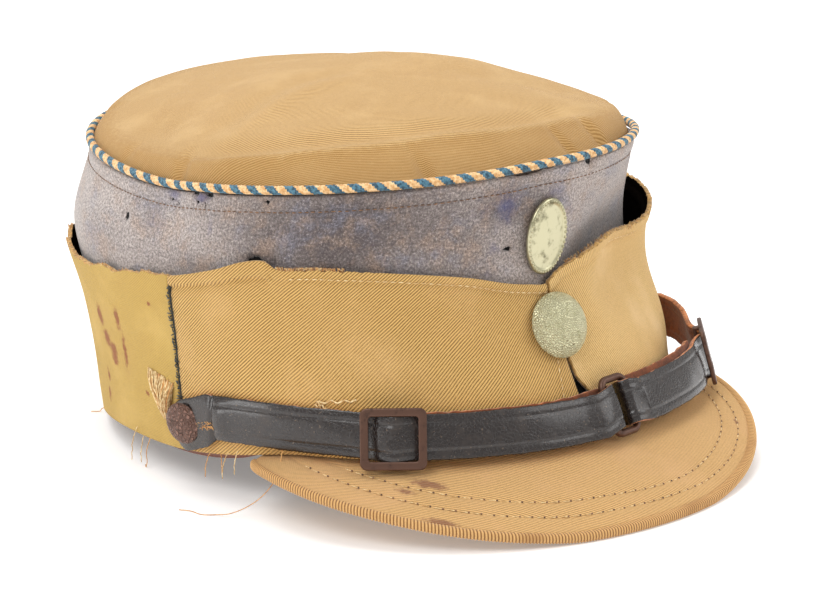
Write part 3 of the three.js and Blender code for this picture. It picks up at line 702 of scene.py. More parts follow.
# Each finish: the function that makes it, then its name and that function's other values in order.
FINISHES = {
    # The crown's mark is painted shade: on the steep face below the front roll, round the rim and in the
    # pleats.
    "crown": (twill_material, "Khaki twill of the crown", "#cda871", "#8c6839", -38, 0.95, "#d2b07c",
              (("deep", "#a77d42", 0.6),)),
    "right": (twill_material, "Khaki twill of the curtain", "#d8af6b", "#77582a", 38, 0.8, "#d6ad74",
              (("rust", "#7e4a2c", 0.7),)),
    "left": (twill_material, "Khaki twill of the left curtain", "#e8c281", "#a7824a", -62, 0.8, "#edcd9a"),
    "back": (twill_material, "Olive twill of the back curtain", "#cfab58", "#94773a", -52, 0.7, "#dab86c",
             (("rust", "#8a4527", 0.85),)),
    "peak": (twill_material, "Khaki twill of the peak", "#dfb377", "#96713f", -46, 0.8, "#d6a877",
             (("rust", "#7a4a38", 0.75),)),
    "raw": (thread_material, "Raw cloth edge", "#cfa35f", "#94703c"),
    "binding": (ribbed_material,),
    "felt": (felt_material,),
    "peach": (thread_material, "Peach cotton yarn", "#f0cc98", "#cf9c62"),
    "teal": (thread_material, "Teal cotton yarn", "#527f93", "#264556"),
    "cream_thread": (thread_material, "Cream sewing thread", "#edd6a4", "#c49e66"),
    "brown_thread": (thread_material, "Brown sewing thread", "#8c6647", "#5b4130"),
    "dark_thread": (thread_material, "Dark sewing thread", "#3b3f38", "#1c1f1c"),
    "orange_thread": (thread_material, "Faded orange thread", "#dca866", "#b87c40"),
    "strap": (leather_material, "Waxed brown strap leather", "#1e1614", "#33271f", "#8f7a66", 0.27, 900),
    "suede": (suede_material, "Flesh side of the strap", "#54290f", "#8a4a24"),
    "cut": (suede_material, "Cut edge of the strap", "#6b3a20", "#e0935c"),
    "sweat": (leather_material, "Red-brown sweatband leather", "#6f341b", "#93512f", "#a06a48", 0.5, 500),
    "brown_metal": (metal_material, "Brown lacquered steel", "#5c4236", "#33231c", 0.38, 0.55, 0, 0.03),
    "pebbled": (metal_material, "Pebbled brown button metal", "#856458", "#4c382f", 0.42, 0.45, 750, 0.8),
    "nickel": (metal_material, "Pebbled nickel silver", "#dcd8b4", "#aaa680", 0.36, 0.75, 1400, 0.4),
    "plate": (metal_material, "Plain nickel silver", "#c2bd9d", "#6f6b52", 0.32, 0.9, 0, 0.05),
    "dark": (shade_black_material,),
}
MATERIALS = {}


def material_named(key):
    """The finish of that name, made the first time it is asked for."""
    if key not in MATERIALS:
        make, *values = FINISHES[key]
        MATERIALS[key] = make(*values)
    return MATERIALS[key]


# ---- Settings ------------------------------------------------------------------------------------------

def size_setting(name, description, size):
    return FloatProperty(name=name, description=description, default=size * MM, unit="LENGTH")


def colour_setting(name, description, colour):
    return FloatVectorProperty(name=name, description=description, size=3, subtype="COLOR", min=0, max=1,
                               default=linear(colour))


class KEPI_PG_sizes(bpy.types.PropertyGroup):
    cloth: size_setting("Cloth", "Thickness of the twill", 1.6)
    felt: size_setting("Felt", "Thickness of the band's felt", 2.0)
    leather: size_setting("Leather", "Thickness of the chin strap", 1.6)
    cord_lay: size_setting("Cord lay", "Length of one turn of the seam cord", 7.3)
    band_stitch: size_setting("Band stitch", "Pitch of the stitches in the felt band", 2.1)
    peak_stitch: size_setting("Peak stitch", "Pitch of the stitches in the peak", 3.9)


class KEPI_PG_colours(bpy.types.PropertyGroup):
    floor: colour_setting("Floor", "Colour of the studio floor", "#f4f3f3")
    sky: colour_setting("Studio", "Colour of the light all round", "#fffefc")


# ---- Pieces --------------------------------------------------------------------------------------------

# Pleats at the crown's seam: theta, depth in mm, half width in degrees.
CROWN_PLEATS = ((90, 3, 1.7), (27, 2.6, 1.4), (-12, 2.4, 1.3), (-24, 2.8, 1.4), (60, 0.8, 2), (108, 1.4, 1.5),
                (140, 1.4, 1.6), (-60, 1.4, 1.5), (-120, 1.3, 1.6), (178, 1.2, 1.5))


class KEPI_OT_crown(bpy.types.Operator):
    """Adds the crown, one soft sheet of twill gathered into the corded seam"""
    bl_idname = "kepi.crown"
    bl_label = "Crown"

    def execute(self, context):
        bm = new_bmesh("deep")

        def place(u, v):
            theta = (u * 360) % 360
            point = crown_point(theta, v)
            reach = v ** 0.8
            start = ROLL.read("reach", min(max(turned(theta), -40), 110))
            # Painted shade on the steep face below the roll and round the rim, deepest in the pleats.
            deep = max(ramp(-0.06, 0.2, (reach - start) / (1 - start)), ramp(0.8, 1, reach)) * 0.75
            edge = ramp(0.86, 0.985, reach)
            for at, depth, wide in CROWN_PLEATS:
                off = turned(theta - at - (1 - reach) * 20) / wide
                pinch = math.exp(-off * off)
                point.z -= depth * edge * (1 - ramp(0.985, 1, reach)) * pinch
                deep = max(deep, depth * 0.5 * edge * pinch ** 3)
            soft = (1 - reach ** 8)
            point.z += soft * (0.8 * grain(point.x, point.y, 3, 32) + 0.35 * grain(point.x, point.y, 9, 12))
            flat = Vector((point.x, point.y - CROWN_POLE_Y)) * (1 + 0.22 * reach ** 7)
            return point, flat, {"deep": deep}

        faces = lay_grid(bm, 400, 96, place)
        face_out(bm, faces)
        make_piece(bm, "crown_cloth", "crown", ("crown_top",),
                   thickness=context.scene.kepi_sizes.cloth / MM)
        return {"FINISHED"}


class KEPI_OT_band(bpy.types.Operator):
    """Adds the grey felt band with its stains, moth holes, torn top edge and the painted black shade in the
    gap at the front
    """
    bl_idname = "kepi.band"
    bl_label = "Felt band"

    def execute(self, context):
        bm = new_bmesh("ink", "soot", "hole_and_shade")

        def place(u, v):
            theta = (u * 360) % 360
            z = mix(hem(theta), band_top(theta), v)
            hole_and_shade = blots(HOLES_AND_SHADE, theta, z)
            out = 0.25 * grain(theta, z, 1, 14) * ramp(0, 0.1, v) * (1 - ramp(0.93, 1, v))
            out -= 1.2 * ramp(0.3, 0.6, hole_and_shade)
            below = band_top(theta) - z
            out += 0.35 * math.exp(-((below - 2.2) / 2.2) ** 2) - 0.45 * math.exp(-((below - 5.2) / 0.9) ** 2)
            torn = math.exp(-((turned(theta - 3)) / 6) ** 2) * ramp(0.93, 1, v)
            point = band(theta, v, out)
            point.z -= torn * (0.8 + 0.8 * grain(theta, 0, 5, 2))
            marks = {"ink": blots(INK, theta, z), "soot": blots(SOOT, theta, z), "hole_and_shade": hole_and_shade}
            return point, (u * 600, z), marks

        faces = lay_grid(bm, 560, 84, place)
        face_out(bm, faces)
        make_piece(bm, "band_felt", "felt", ("crown_band",),
                   thickness=context.scene.kepi_sizes.felt / MM)
        return {"FINISHED"}


class KEPI_OT_piping(bpy.types.Operator):
    """Adds the seam cord, three peach and three teal yarns twisted together"""
    bl_idname = "kepi.piping"
    bl_label = "Seam cord"

    def execute(self, context):
        bm = new_bmesh()
        middles = []
        for k in range(360):
            middle = band(k, 1, 0.4)
            middle.z = seam(k)
            middles.append(middle)
        length = sum((b - a).length for a, b in zip(middles, middles[1:] + middles[:1]))
        turns = round(length / (context.scene.kepi_sizes.cord_lay / MM))
        count = turns * 9
        centres = []
        for k in range(count):
            theta = 360 * k / count
            middle = band(theta, 1, 0.4)
            middle.z = seam(theta)
            outward = directions(theta, band_top(theta) - 6, 0.4)[2]
            outward.z = 0
            centres.append((middle, outward.normalized()))
        for yarn in range(6):
            points, hints = [], []
            for k, (middle, outward) in enumerate(centres):
                turn = 2 * math.pi * (turns * k / count + yarn / 6)
                spoke = outward * math.cos(turn) + Vector((0, 0, math.sin(turn)))
                points.append(middle + spoke * 0.82)
                hints.append(spoke)
            lay_rod(bm, points, 0.66, 6, True, hints, 0 if yarn < 3 else 1)
        make_piece(bm, "seam_cord", "peach teal", ("piping",))
        return {"FINISHED"}


class KEPI_OT_curtains(bpy.types.Operator):
    """Adds the three cloth pieces of the turned-up curtain, with their folded and torn edges"""
    bl_idname = "kepi.curtains"
    bl_label = "Curtain"

    def execute(self, context):
        thick = context.scene.kepi_sizes.cloth / MM
        pieces = (("curtain_cloth_right", "curtain_right", "right", "twill", 200, -3.4, -0.7, 86.6, 86.6),
                  ("curtain_cloth_left", "curtain_left", "left", "twill", 190, -86.6, -86.6, -4.6, -1.4),
                  ("curtain_cloth_back", "curtain_back", "back", "back_twill", 250, 87.4, 87.4, 272.6, 272.6))
        for name, node, material, slot, columns, hem_from, top_from, hem_to, top_to in pieces:
            bm = new_bmesh("rust")

            def place(u, v):
                theta = mix(mix(hem_from, top_from, v), mix(hem_to, top_to, v), u)
                if node == "curtain_left":
                    theta -= 2.4 * math.exp(-((v - 0.2) / 0.1) ** 2) * u ** 12
                height = CURTAIN_EDGE.read("z", theta) - hem(theta)
                below = (1 - v) * height
                proud = 0.3 * grain(theta * 1.6, v * height, 7, 16) * ramp(0, 0.2, v)
                rise = 0.0
                if node == "curtain_right":
                    folded = ramp(59, 60.5, theta)
                    fold = mix(5.2, 3.2, ramp(60, 86, theta))
                    proud += 0.9 * folded * ramp(-0.5, 0.5, fold - below)
                    proud -= 0.6 * folded * math.exp(-((below - fold - 1) / 0.9) ** 2)
                    proud += 0.5 * (1 - folded) * math.exp(-((below - 1.6) / 1.6) ** 2)
                    proud -= 0.4 * (1 - folded) * math.exp(-((below - 3.6) / 0.6) ** 2)
                    proud += 0.5 * grain(theta * 1.6 + below, below * 0.4, 5, 24) * ramp(0, 8, below)
                    rise = ramp(0.93, 1, v) * 0.7 * grain(theta * 1.6, 0, 2, 2)
                    rise *= (1 - folded) * ramp(36, 42, theta)
                if node == "curtain_back":
                    torn = ramp(0.8, 1, v) * ramp(0, 4, theta - 87) * (1 - ramp(135, 150, theta))
                    rise = torn * (2.2 * grain(theta * 1.6, 0, 2, 7) + 0.8 * grain(theta * 1.6, 0, 8, 2))
                    theta += 0.5 * grain(v * 60, 0, 4, 4) * (1 - ramp(0, 0.02, u))
                if node == "curtain_left":
                    rise = ramp(0.9, 1, v) * 1.1 * grain(theta * 1.6, 0, 2, 2.2)
                    swell = 2.4 * grain(theta * 1.6, v * height * 0.7, 9, 27)
                    proud += swell * ramp(0, 0.3, v) * ramp(4, 14, -theta)
                    proud += 0.5 * ramp(-0.5, 0.5, 3.6 - below) - 0.4 * math.exp(-((below - 4.6) / 0.8) ** 2)
                point = curtain_point(theta, v, proud, rise)
                return point, (-theta * MM_PER_DEGREE, point.z), {"rust": blots(RUST, theta, point.z)}

            faces = lay_grid(bm, columns, 96, place)
            face_out(bm, faces)
            # The inner face is painted black as painted shade, and the rim shows the raw cloth edge.
            make_piece(bm, name, material + " dark raw", (node,), thickness=thick,
                       backs=(1, 2))
        return {"FINISHED"}


class KEPI_OT_peak(bpy.types.Operator):
    """Adds the stiff peak and the ribbed tape that binds its edge"""
    bl_idname = "kepi.peak"
    bl_label = "Peak"

    def execute(self, context):
        bm = new_bmesh("rust")
        stains = ((33, 1, 3.5, 1.6, 1), (34, 18.5, 4.5, 2, 1), (38, 13, 3, 1.5, 0.8), (-37, 4, 1.4, 0.9, 0.9))

        def place(u, v):
            theta = mix(-PEAK_END, PEAK_END, u)
            reach = max(peak_reach(theta), 1)
            from_edge = (1 - v) * reach
            proud = 0.25 * grain(theta * 1.7, from_edge, 3, 18) * ramp(0, 0.1, v) * (1 - ramp(0.9, 1, v))
            for row in ("outer", "inner"):
                inset = PEAK_ROWS.read(row, theta)
                groove = 0.25 * math.exp(-((from_edge - inset) / 1.1) ** 2)
                proud -= groove * ramp(inset + 1, inset + 6, reach)
            point = peak_face(theta, v, proud)
            return point, (point.x, point.y * 1.08), {"rust": blots(stains, theta, from_edge)}

        faces = lay_grid(bm, 210, 44, place)
        face_out(bm, faces, Vector((0, -60, -200)))
        make_piece(bm, "peak_cloth", "peak", ("peak",), thickness=2.4)

        bm = new_bmesh()
        ribs = 290
        columns = ribs * 4

        def rib(u, v):
            theta = mix(-PEAK_END, PEAK_END, u)
            turn = 2 * math.pi * (v % 1)
            ripple = 0.15 * math.cos(2 * math.pi * u * ribs)
            w, h = BINDING_WIDTH / 2, BINDING_HEIGHT / 2
            soft = 0.75
            side = math.copysign(abs(math.cos(turn)) ** soft, math.cos(turn)) * (w + ripple)
            up = math.copysign(abs(math.sin(turn)) ** soft, math.sin(turn)) * (h + ripple - 0.2)
            foot = peak_foot(theta) + BINDING_HEIGHT / 2
            return over_peak(theta, peak_reach(theta) - w + side, foot + up), (u * ribs, v)

        close_ends(bm, lay_grid(bm, columns, 10, rib))
        make_piece(bm, "peak_tape", "binding", ("peak_binding",))
        return {"FINISHED"}


class KEPI_OT_sweatband(bpy.types.Operator):
    """Adds the leather sweatband inside the band"""
    bl_idname = "kepi.sweatband"
    bl_label = "Sweatband"

    def execute(self, context):
        bm = new_bmesh()

        def place(u, v):
            theta = (u * 360) % 360
            bottom = hem(theta) - SWEATBAND_DROP.read("drop", abs(turned(theta)))
            z = mix(bottom, hem(theta) + 34, v)
            point = band(theta, max(level_of(theta, z), 0), -2.6 + 0.15 * grain(theta, z, 2, 9))
            point.z = z
            return point, (u * 590, z)

        face_out(bm, lay_grid(bm, 240, 16, place))
        make_piece(bm, "sweatband_leather", "sweat", ("sweatband",), thickness=1.3)
        return {"FINISHED"}


STRAP_STEPS, STRAP_RETURN_STEPS = 190, 70
STRAP_HALF_WIDTH = 7
STRAP_FACE = 3.9  # how far out the strap's middle lies at its buttoned end


def button_seat(side):
    """Seat of the strap under a side button; side is 1 on the wearer's right and -1 on the left."""
    return seat(side * SIDE_BUTTON["theta"], SIDE_BUTTON["z"], STRAP_FACE)


def slit_line(ahead):
    """Height of the torn slit that far ahead of the button's middle."""
    return 0.16 * ahead - 0.3


def strap_route(route, back):
    """Middle line and upward direction of one half of the strap, out to the ring's bar and back under."""
    way = -math.copysign(1, route.places[0] + route.places[-1])
    places, back_places = (route.places, back.places) if way > 0 else (route.places[::-1], back.places[::-1])
    steps = []

    def follow(rows, start, end, count):
        for i in range(count + 1):
            theta = mix(start, end, i / count)
            z, out = rows.read("z", theta), rows.read("out", theta)
            steps.append((band_at(theta, z, out), directions(theta, z, out)[1]))

    follow(route, places[0], places[-1], STRAP_STEPS)
    ahead, up, outward = directions(RING["theta"], RING["z"], RING["out"])
    ahead = ahead * way
    middle = band_at(RING["theta"], RING["z"], RING["out"]) + ahead * ((RING["wire"] - RING["width"]) / 2)
    radius = (RING["wire"] + 1.6) / 2 + 2 * GAP
    for angle in range(70, -71, -20):
        across, along = math.sin(math.radians(angle)), math.cos(math.radians(angle))
        steps.append((middle + outward * radius * across + ahead * radius * along, up))
    follow(back, back_places[-1], back_places[0], STRAP_RETURN_STEPS)
    return steps


class KEPI_OT_straps(bpy.types.Operator):
    """Adds the two halves of the leather chin strap"""
    bl_idname = "kepi.straps"
    bl_label = "Chin strap"

    def execute(self, context):
        halves = (("strap_leather_right", "strap_right", STRAP_RIGHT, STRAP_RIGHT_RETURN),
                  ("strap_leather_left", "strap_left", STRAP_LEFT, STRAP_LEFT_RETURN))
        for name, node, route, back in halves:
            steps = strap_route(route, back)
            lengths = [0.0]
            for (a, _), (b, _) in zip(steps, steps[1:]):
                lengths.append(lengths[-1] + (b - a).length)
            last = len(steps) - 1
            bm = new_bmesh()

            def place(u, v):
                i = round(u * last)
                middle, up = steps[i]
                tangent = (steps[min(i + 1, last)][0] - steps[max(i - 1, 0)][0]).normalized()
                normal = tangent.cross(up).normalized()
                outward = middle.copy()
                outward.z = 0
                if i < STRAP_STEPS and normal.dot(outward) < 0:
                    normal = -normal
                from_end = min(lengths[i] / STRAP_HALF_WIDTH, 1)
                half = STRAP_HALF_WIDTH * math.sqrt(1 - (1 - max(from_end, 0.06)) ** 2)
                w = 2 * v - 1
                half += (2.4 if w < 0 else 0.6) * from_end * (1 - ramp(18, 22, lengths[i]))
                emboss = -0.4 * math.exp(-((abs(w) - 0.6) / 0.05) ** 2) if lengths[i] > 22 else 0.0
                emboss -= 0.9 * math.exp(-((lengths[i] - 21.6) / 0.6) ** 2)
                emboss += 0.9 * math.exp(-((lengths[i] - 25) / 3.5) ** 2) * (1 - w * w)
                ragged = 0.35 * grain(lengths[i], w * 3, 1, 2.2) * (abs(w) > 0.98)
                bulge = mix(1.2, 0.5, ramp(30, 70, lengths[i]))
                uneven = 0.12 * grain(lengths[i], w * STRAP_HALF_WIDTH, 4, 9)
                face = middle + normal * (emboss + bulge * (0.6 - w * w) + uneven)
                return face + up * (half * w + ragged), (lengths[i], w * STRAP_HALF_WIDTH)

            faces = lay_grid(bm, last, 28, place)
            start = [f for f in faces if (f.calc_center_median() / MM - HEAD_BACK - steps[60][0]).length < 12]
            for face in start:
                face.normal_update()
            facing = sum(f.normal.dot(f.calc_center_median()) for f in start)
            if facing < 0:
                bmesh.ops.reverse_faces(bm, faces=faces)
            if node == "strap_left":
                # Only this half has its button slit cut open; the other half's is closed under torn fibres.
                to_button = button_seat(-1).inverted()
                slit = []
                for face in faces:
                    near = to_button @ (face.calc_center_median() / MM - HEAD_BACK)
                    ahead = -near.x
                    gape = mix(0.9, 0.4, ramp(8, 15, ahead))
                    if -6 < ahead < 15 and abs(near.y - slit_line(ahead)) < gape and abs(near.z) < 4:
                        slit.append(face)
                bmesh.ops.delete(bm, geom=slit, context="FACES")
            make_piece(bm, name, "strap suede cut", (node,),
                       thickness=context.scene.kepi_sizes.leather / MM, offset=0.0, backs=(1, 2))
        return {"FINISHED"}


def lay_spun(bm, profile, matrix, steps=40, stretch=(1, 1)):
    """Spins a profile of (radius, height) pairs in mm round Z and seats it on the cap."""
    verts = [bm.verts.new((x, 0, z)) for x, z in profile]
    edges = [bm.edges.new(pair) for pair in zip(verts, verts[1:])]
    bmesh.ops.spin(bm, geom=verts + edges, cent=(0, 0, 0), axis=(0, 0, 1), angle=2 * math.pi, steps=steps,
                   use_merge=True)
    bmesh.ops.remove_doubles(bm, verts=bm.verts, dist=1e-5)
    bmesh.ops.scale(bm, vec=(stretch[0], stretch[1], 1), verts=bm.verts)
    seat_all(bm, matrix)


def seat_all(bm, matrix):
    """Moves everything drawn so far, flat and in mm, to its place on the cap."""
    to_cap = Matrix.Scale(MM, 4) @ Matrix.Translation(HEAD_BACK) @ matrix
    bmesh.ops.transform(bm, matrix=to_cap, verts=bm.verts)
    bmesh.ops.recalc_face_normals(bm, faces=bm.faces)
    for face in bm.faces:
        face.smooth = True


def dome_profile(button, count=12):
    """Underside, rolled rim and dome of a button, from its shank to the middle of its face."""
    r, rim, dome = button["radius"], button["rim"], button["dome"]
    profile = [(0, -button["stem"]), (1.2, -button["stem"]), (1.2, 0), (r * 0.8, 0), (r * 0.94, 0.1),
               (r, 0.45), (r, rim * 0.8), (r * 0.985, rim)]
    for k in range(1, count):
        turn = math.radians(66 * (1 - k / count))
        profile.append((r * math.sin(turn) * 1.075, rim + dome * (math.cos(turn) - 0.4) / 0.6))
    return profile + [(0, rim + dome)]


def lay_slider(bm, matrix):
    """A flat stamped frame with rounded corners and edges, and its middle bar."""
    w, h = SLIDER["width"] / 2, SLIDER["height"] / 2
    for wide, high, corner in ((w, h, SLIDER["corner"]), (w - SLIDER["bar"], h - SLIDER["bar"], 0.9)):
        corners = bmesh.ops.create_grid(bm, x_segments=1, y_segments=1, size=1)["verts"]
        bmesh.ops.scale(bm, vec=(wide, high, 1), verts=corners)
        bmesh.ops.bevel(bm, geom=corners, offset=corner, segments=5, profile=0.5, affect="VERTICES",
                        material=-1)
    bmesh.ops.delete(bm, geom=list(bm.faces), context="FACES_ONLY")
    bmesh.ops.bridge_loops(bm, edges=list(bm.edges))
    raised = bmesh.ops.extrude_face_region(bm, geom=list(bm.faces), use_keep_orig=True)["geom"]
    upper = [part for part in raised if isinstance(part, bmesh.types.BMVert)]
    bmesh.ops.translate(bm, vec=(0, 0, SLIDER["plate"]), verts=upper)
    bmesh.ops.recalc_face_normals(bm, faces=bm.faces)
    sharp = [edge for edge in bm.edges if len(edge.link_faces) == 2 and edge.calc_face_angle() > 1]
    bmesh.ops.bevel(bm, geom=sharp, offset=0.42, segments=3, profile=0.5, affect="EDGES", material=-1)
    blocks = [((SLIDER["bar"], SLIDER["height"] - 1, 1.2), (0, 0, SLIDER["bar_out"] + SLIDER["plate"] * 0.4))]
    for end in (-1, 1):
        blocks.append(((SLIDER["bar"], 1.2, 3.4), (0, end * (h - 1), -0.3)))
    for size, middle in blocks:
        shape = Matrix.Translation(middle) @ Matrix.Diagonal((*size, 1))
        cube = bmesh.ops.create_cube(bm, size=1, matrix=shape)["verts"]
        edges = list({edge for vert in cube for edge in vert.link_edges})
        bmesh.ops.bevel(bm, geom=edges, offset=0.3, segments=2, profile=0.5, affect="EDGES", material=-1)
    seat_all(bm, matrix)


class KEPI_OT_fittings(bpy.types.Operator):
    """Adds the strap's two sliders, its link ring and the two side buttons"""
    bl_idname = "kepi.fittings"
    bl_label = "Strap fittings"

    def execute(self, context):
        for name, node, theta, z, out in (("slider_plate_right", "slider_right", 39, 27.6, 7.2),
                                          ("slider_plate_left", "slider_left", -48, 27.6, 14.6)):
            bm = new_bmesh()
            lay_slider(bm, seat(theta, z, out))
            piece = make_piece(bm, name, "brown_metal", (node,))
            piece.data.set_sharp_from_angle(angle=math.radians(50))

        bm = new_bmesh()
        w, h, corner = (RING["width"] - RING["wire"]) / 2, (RING["height"] - RING["wire"]) / 2, RING["corner"]
        matrix = seat(RING["theta"], RING["z"], RING["out"])
        points, hints = [], []
        for k, (sx, sy) in enumerate(((1, 1), (-1, 1), (-1, -1), (1, -1))):
            for step in range(7):
                turn = math.radians(k * 90 + step * 15)
                spoke = Vector((math.cos(turn), math.sin(turn), 0))
                flat = Vector((sx * (w - corner), sy * (h - corner), 0)) + spoke * corner
                points.append(matrix @ flat)
                hints.append(matrix.to_3x3() @ spoke)
        lay_rod(bm, points, RING["wire"] / 2, 14, True, hints)
        make_piece(bm, "link_ring_wire", "brown_metal", ("link_ring",))

        for name, node, side in (("side_button_dome_right", "side_button_right", 1),
                                 ("side_button_dome_left", "side_button_left", -1)):
            bm = new_bmesh()
            leaning = Matrix.Rotation(math.radians(side * 8), 4, "Y")
            matrix = seat(side * SIDE_BUTTON["theta"], SIDE_BUTTON["z"], SIDE_BUTTON["out"]) @ leaning
            lay_spun(bm, dome_profile(SIDE_BUTTON), matrix, stretch=(0.97, 0.93))
            make_piece(bm, name, "pebbled", (node,))
        return {"FINISHED"}


class KEPI_OT_front(bpy.types.Operator):
    """Adds the front button and a plain oval badge with a beaded rim"""
    bl_idname = "kepi.front"
    bl_label = "Front button and badge"

    def execute(self, context):
        bm = new_bmesh()
        leaning = seat(FRONT_BUTTON["theta"], FRONT_BUTTON["z"] - 0.8, FRONT_BUTTON["out"] + 0.3)
        lay_spun(bm, dome_profile(FRONT_BUTTON, 18), leaning @ Matrix.Rotation(math.radians(-9), 4, "Y"), 64)
        make_piece(bm, "front_button_dome", "nickel", ("front_button",))

        bm = new_bmesh()
        profile = [(0, 0), (0.97, 0), (1, 0.35), (1, 1.0), (0.97, 1.35), (0.93, 1.45), (0.88, 1.3),
                   (0.85, 0.95), (0.82, 0.9), (0.6, 1.15), (0.3, 1.35), (0, 1.43)]
        matrix = seat(BADGE["theta"], BADGE["z"], BADGE["out"])
        half_width, half_height = BADGE["width"] / 2, BADGE["height"] / 2
        lay_spun(bm, profile, matrix, 72, (half_width, half_height))
        beads, beads_in, bead_height = 44, 0.925, 1.35
        for k in range(beads):
            turn = 2 * math.pi * k / beads
            across, along = math.cos(turn) * half_width * beads_in, math.sin(turn) * half_height * beads_in
            bead = Vector((across, along, bead_height))
            made = bmesh.ops.create_uvsphere(bm, u_segments=8, v_segments=6, radius=0.52 * MM,
                                             matrix=Matrix.Translation((matrix @ bead + HEAD_BACK) * MM))
            for face in {f for v in made["verts"] for f in v.link_faces}:
                face.smooth = True
        make_piece(bm, "badge_oval", "plate", ("badge",))
        return {"FINISHED"}


class KEPI_OT_stitching(bpy.types.Operator):
    """Adds the rows of stitches in the band, the curtain's hem, the front seam and the peak"""
    bl_idname = "kepi.stitching"
    bl_label = "Stitching"

    def execute(self, context):
        sizes = context.scene.kepi_sizes
        bm = new_bmesh()
        line = [band_at(t, band_top(t) - 5.2, -0.15) for t in range(-180, 181, 2)]
        stitch_along(bm, line, 1.5, sizes.band_stitch / MM, 0.2, wander=0.08)
        make_piece(bm, "band_stitches", "brown_thread")

        bm = new_bmesh()
        for start, end, drop in ((-0.5, 57, 2.6), (-80, -5, 2.6)):
            line = []
            for k in range(100):
                theta = mix(start, end, k / 99)
                top = CURTAIN_EDGE.read("z", theta)
                line.append(on_curtain(theta, top - drop, 0.75 if start > -50 else 0.1))
            stitch_along(bm, line, 1.7, 2.4, 0.17, wander=0.06, seed=2)
        line = [on_curtain(mix(-1.2, 2.6, k / 20), mix(58, 22, k / 20), 0.3) for k in range(21)]
        stitch_along(bm, line, 1.9, 2.7, 0.17, wander=0.05, seed=3)
        make_piece(bm, "curtain_stitches", "cream_thread")

        bm = new_bmesh()
        for row, end in (("outer", 58), ("inner", 50)):
            line = []
            for k in range(160):
                theta = mix(-end, end, k / 159)
                inset = PEAK_ROWS.read(row, theta)
                line.append(peak_face(theta, max(1 - inset / max(peak_reach(theta), 1), 0.1), -0.05))
            stitch_along(bm, line, 3.1, sizes.peak_stitch / MM, 0.15, 0, 0.05, 4)
            raised = [point + Vector((0, 0, 0.12)) for point in line]
            stitch_along(bm, raised, 0.7, sizes.peak_stitch / MM, 0.3, 1, 0.05, 4)
        make_piece(bm, "peak_stitches", "cream_thread brown_thread")
        return {"FINISHED"}


def loose_line(start, pull, length, curl, chance, floor=0.3, steps=26):
    """A limp thread that leaves start along pull, sags and curls, and lies on the floor if it gets there."""
    points, heading = [start.copy()], pull.normalized()
    piece = length / steps
    swing = chance.uniform(0, 6.28)
    for k in range(steps):
        twist = k * curl
        sway = Vector((math.cos(swing + twist), math.sin(swing + twist * 1.3), math.cos(twist * 0.7)))
        heading = (heading + sway * 0.22 * min(curl, 1.2) + Vector((0, 0, -0.10))).normalized()
        point = points[-1] + heading * piece
        if point.z < floor:
            point.z = floor
            heading.z = max(heading.z, 0)
        points.append(point)
    return points


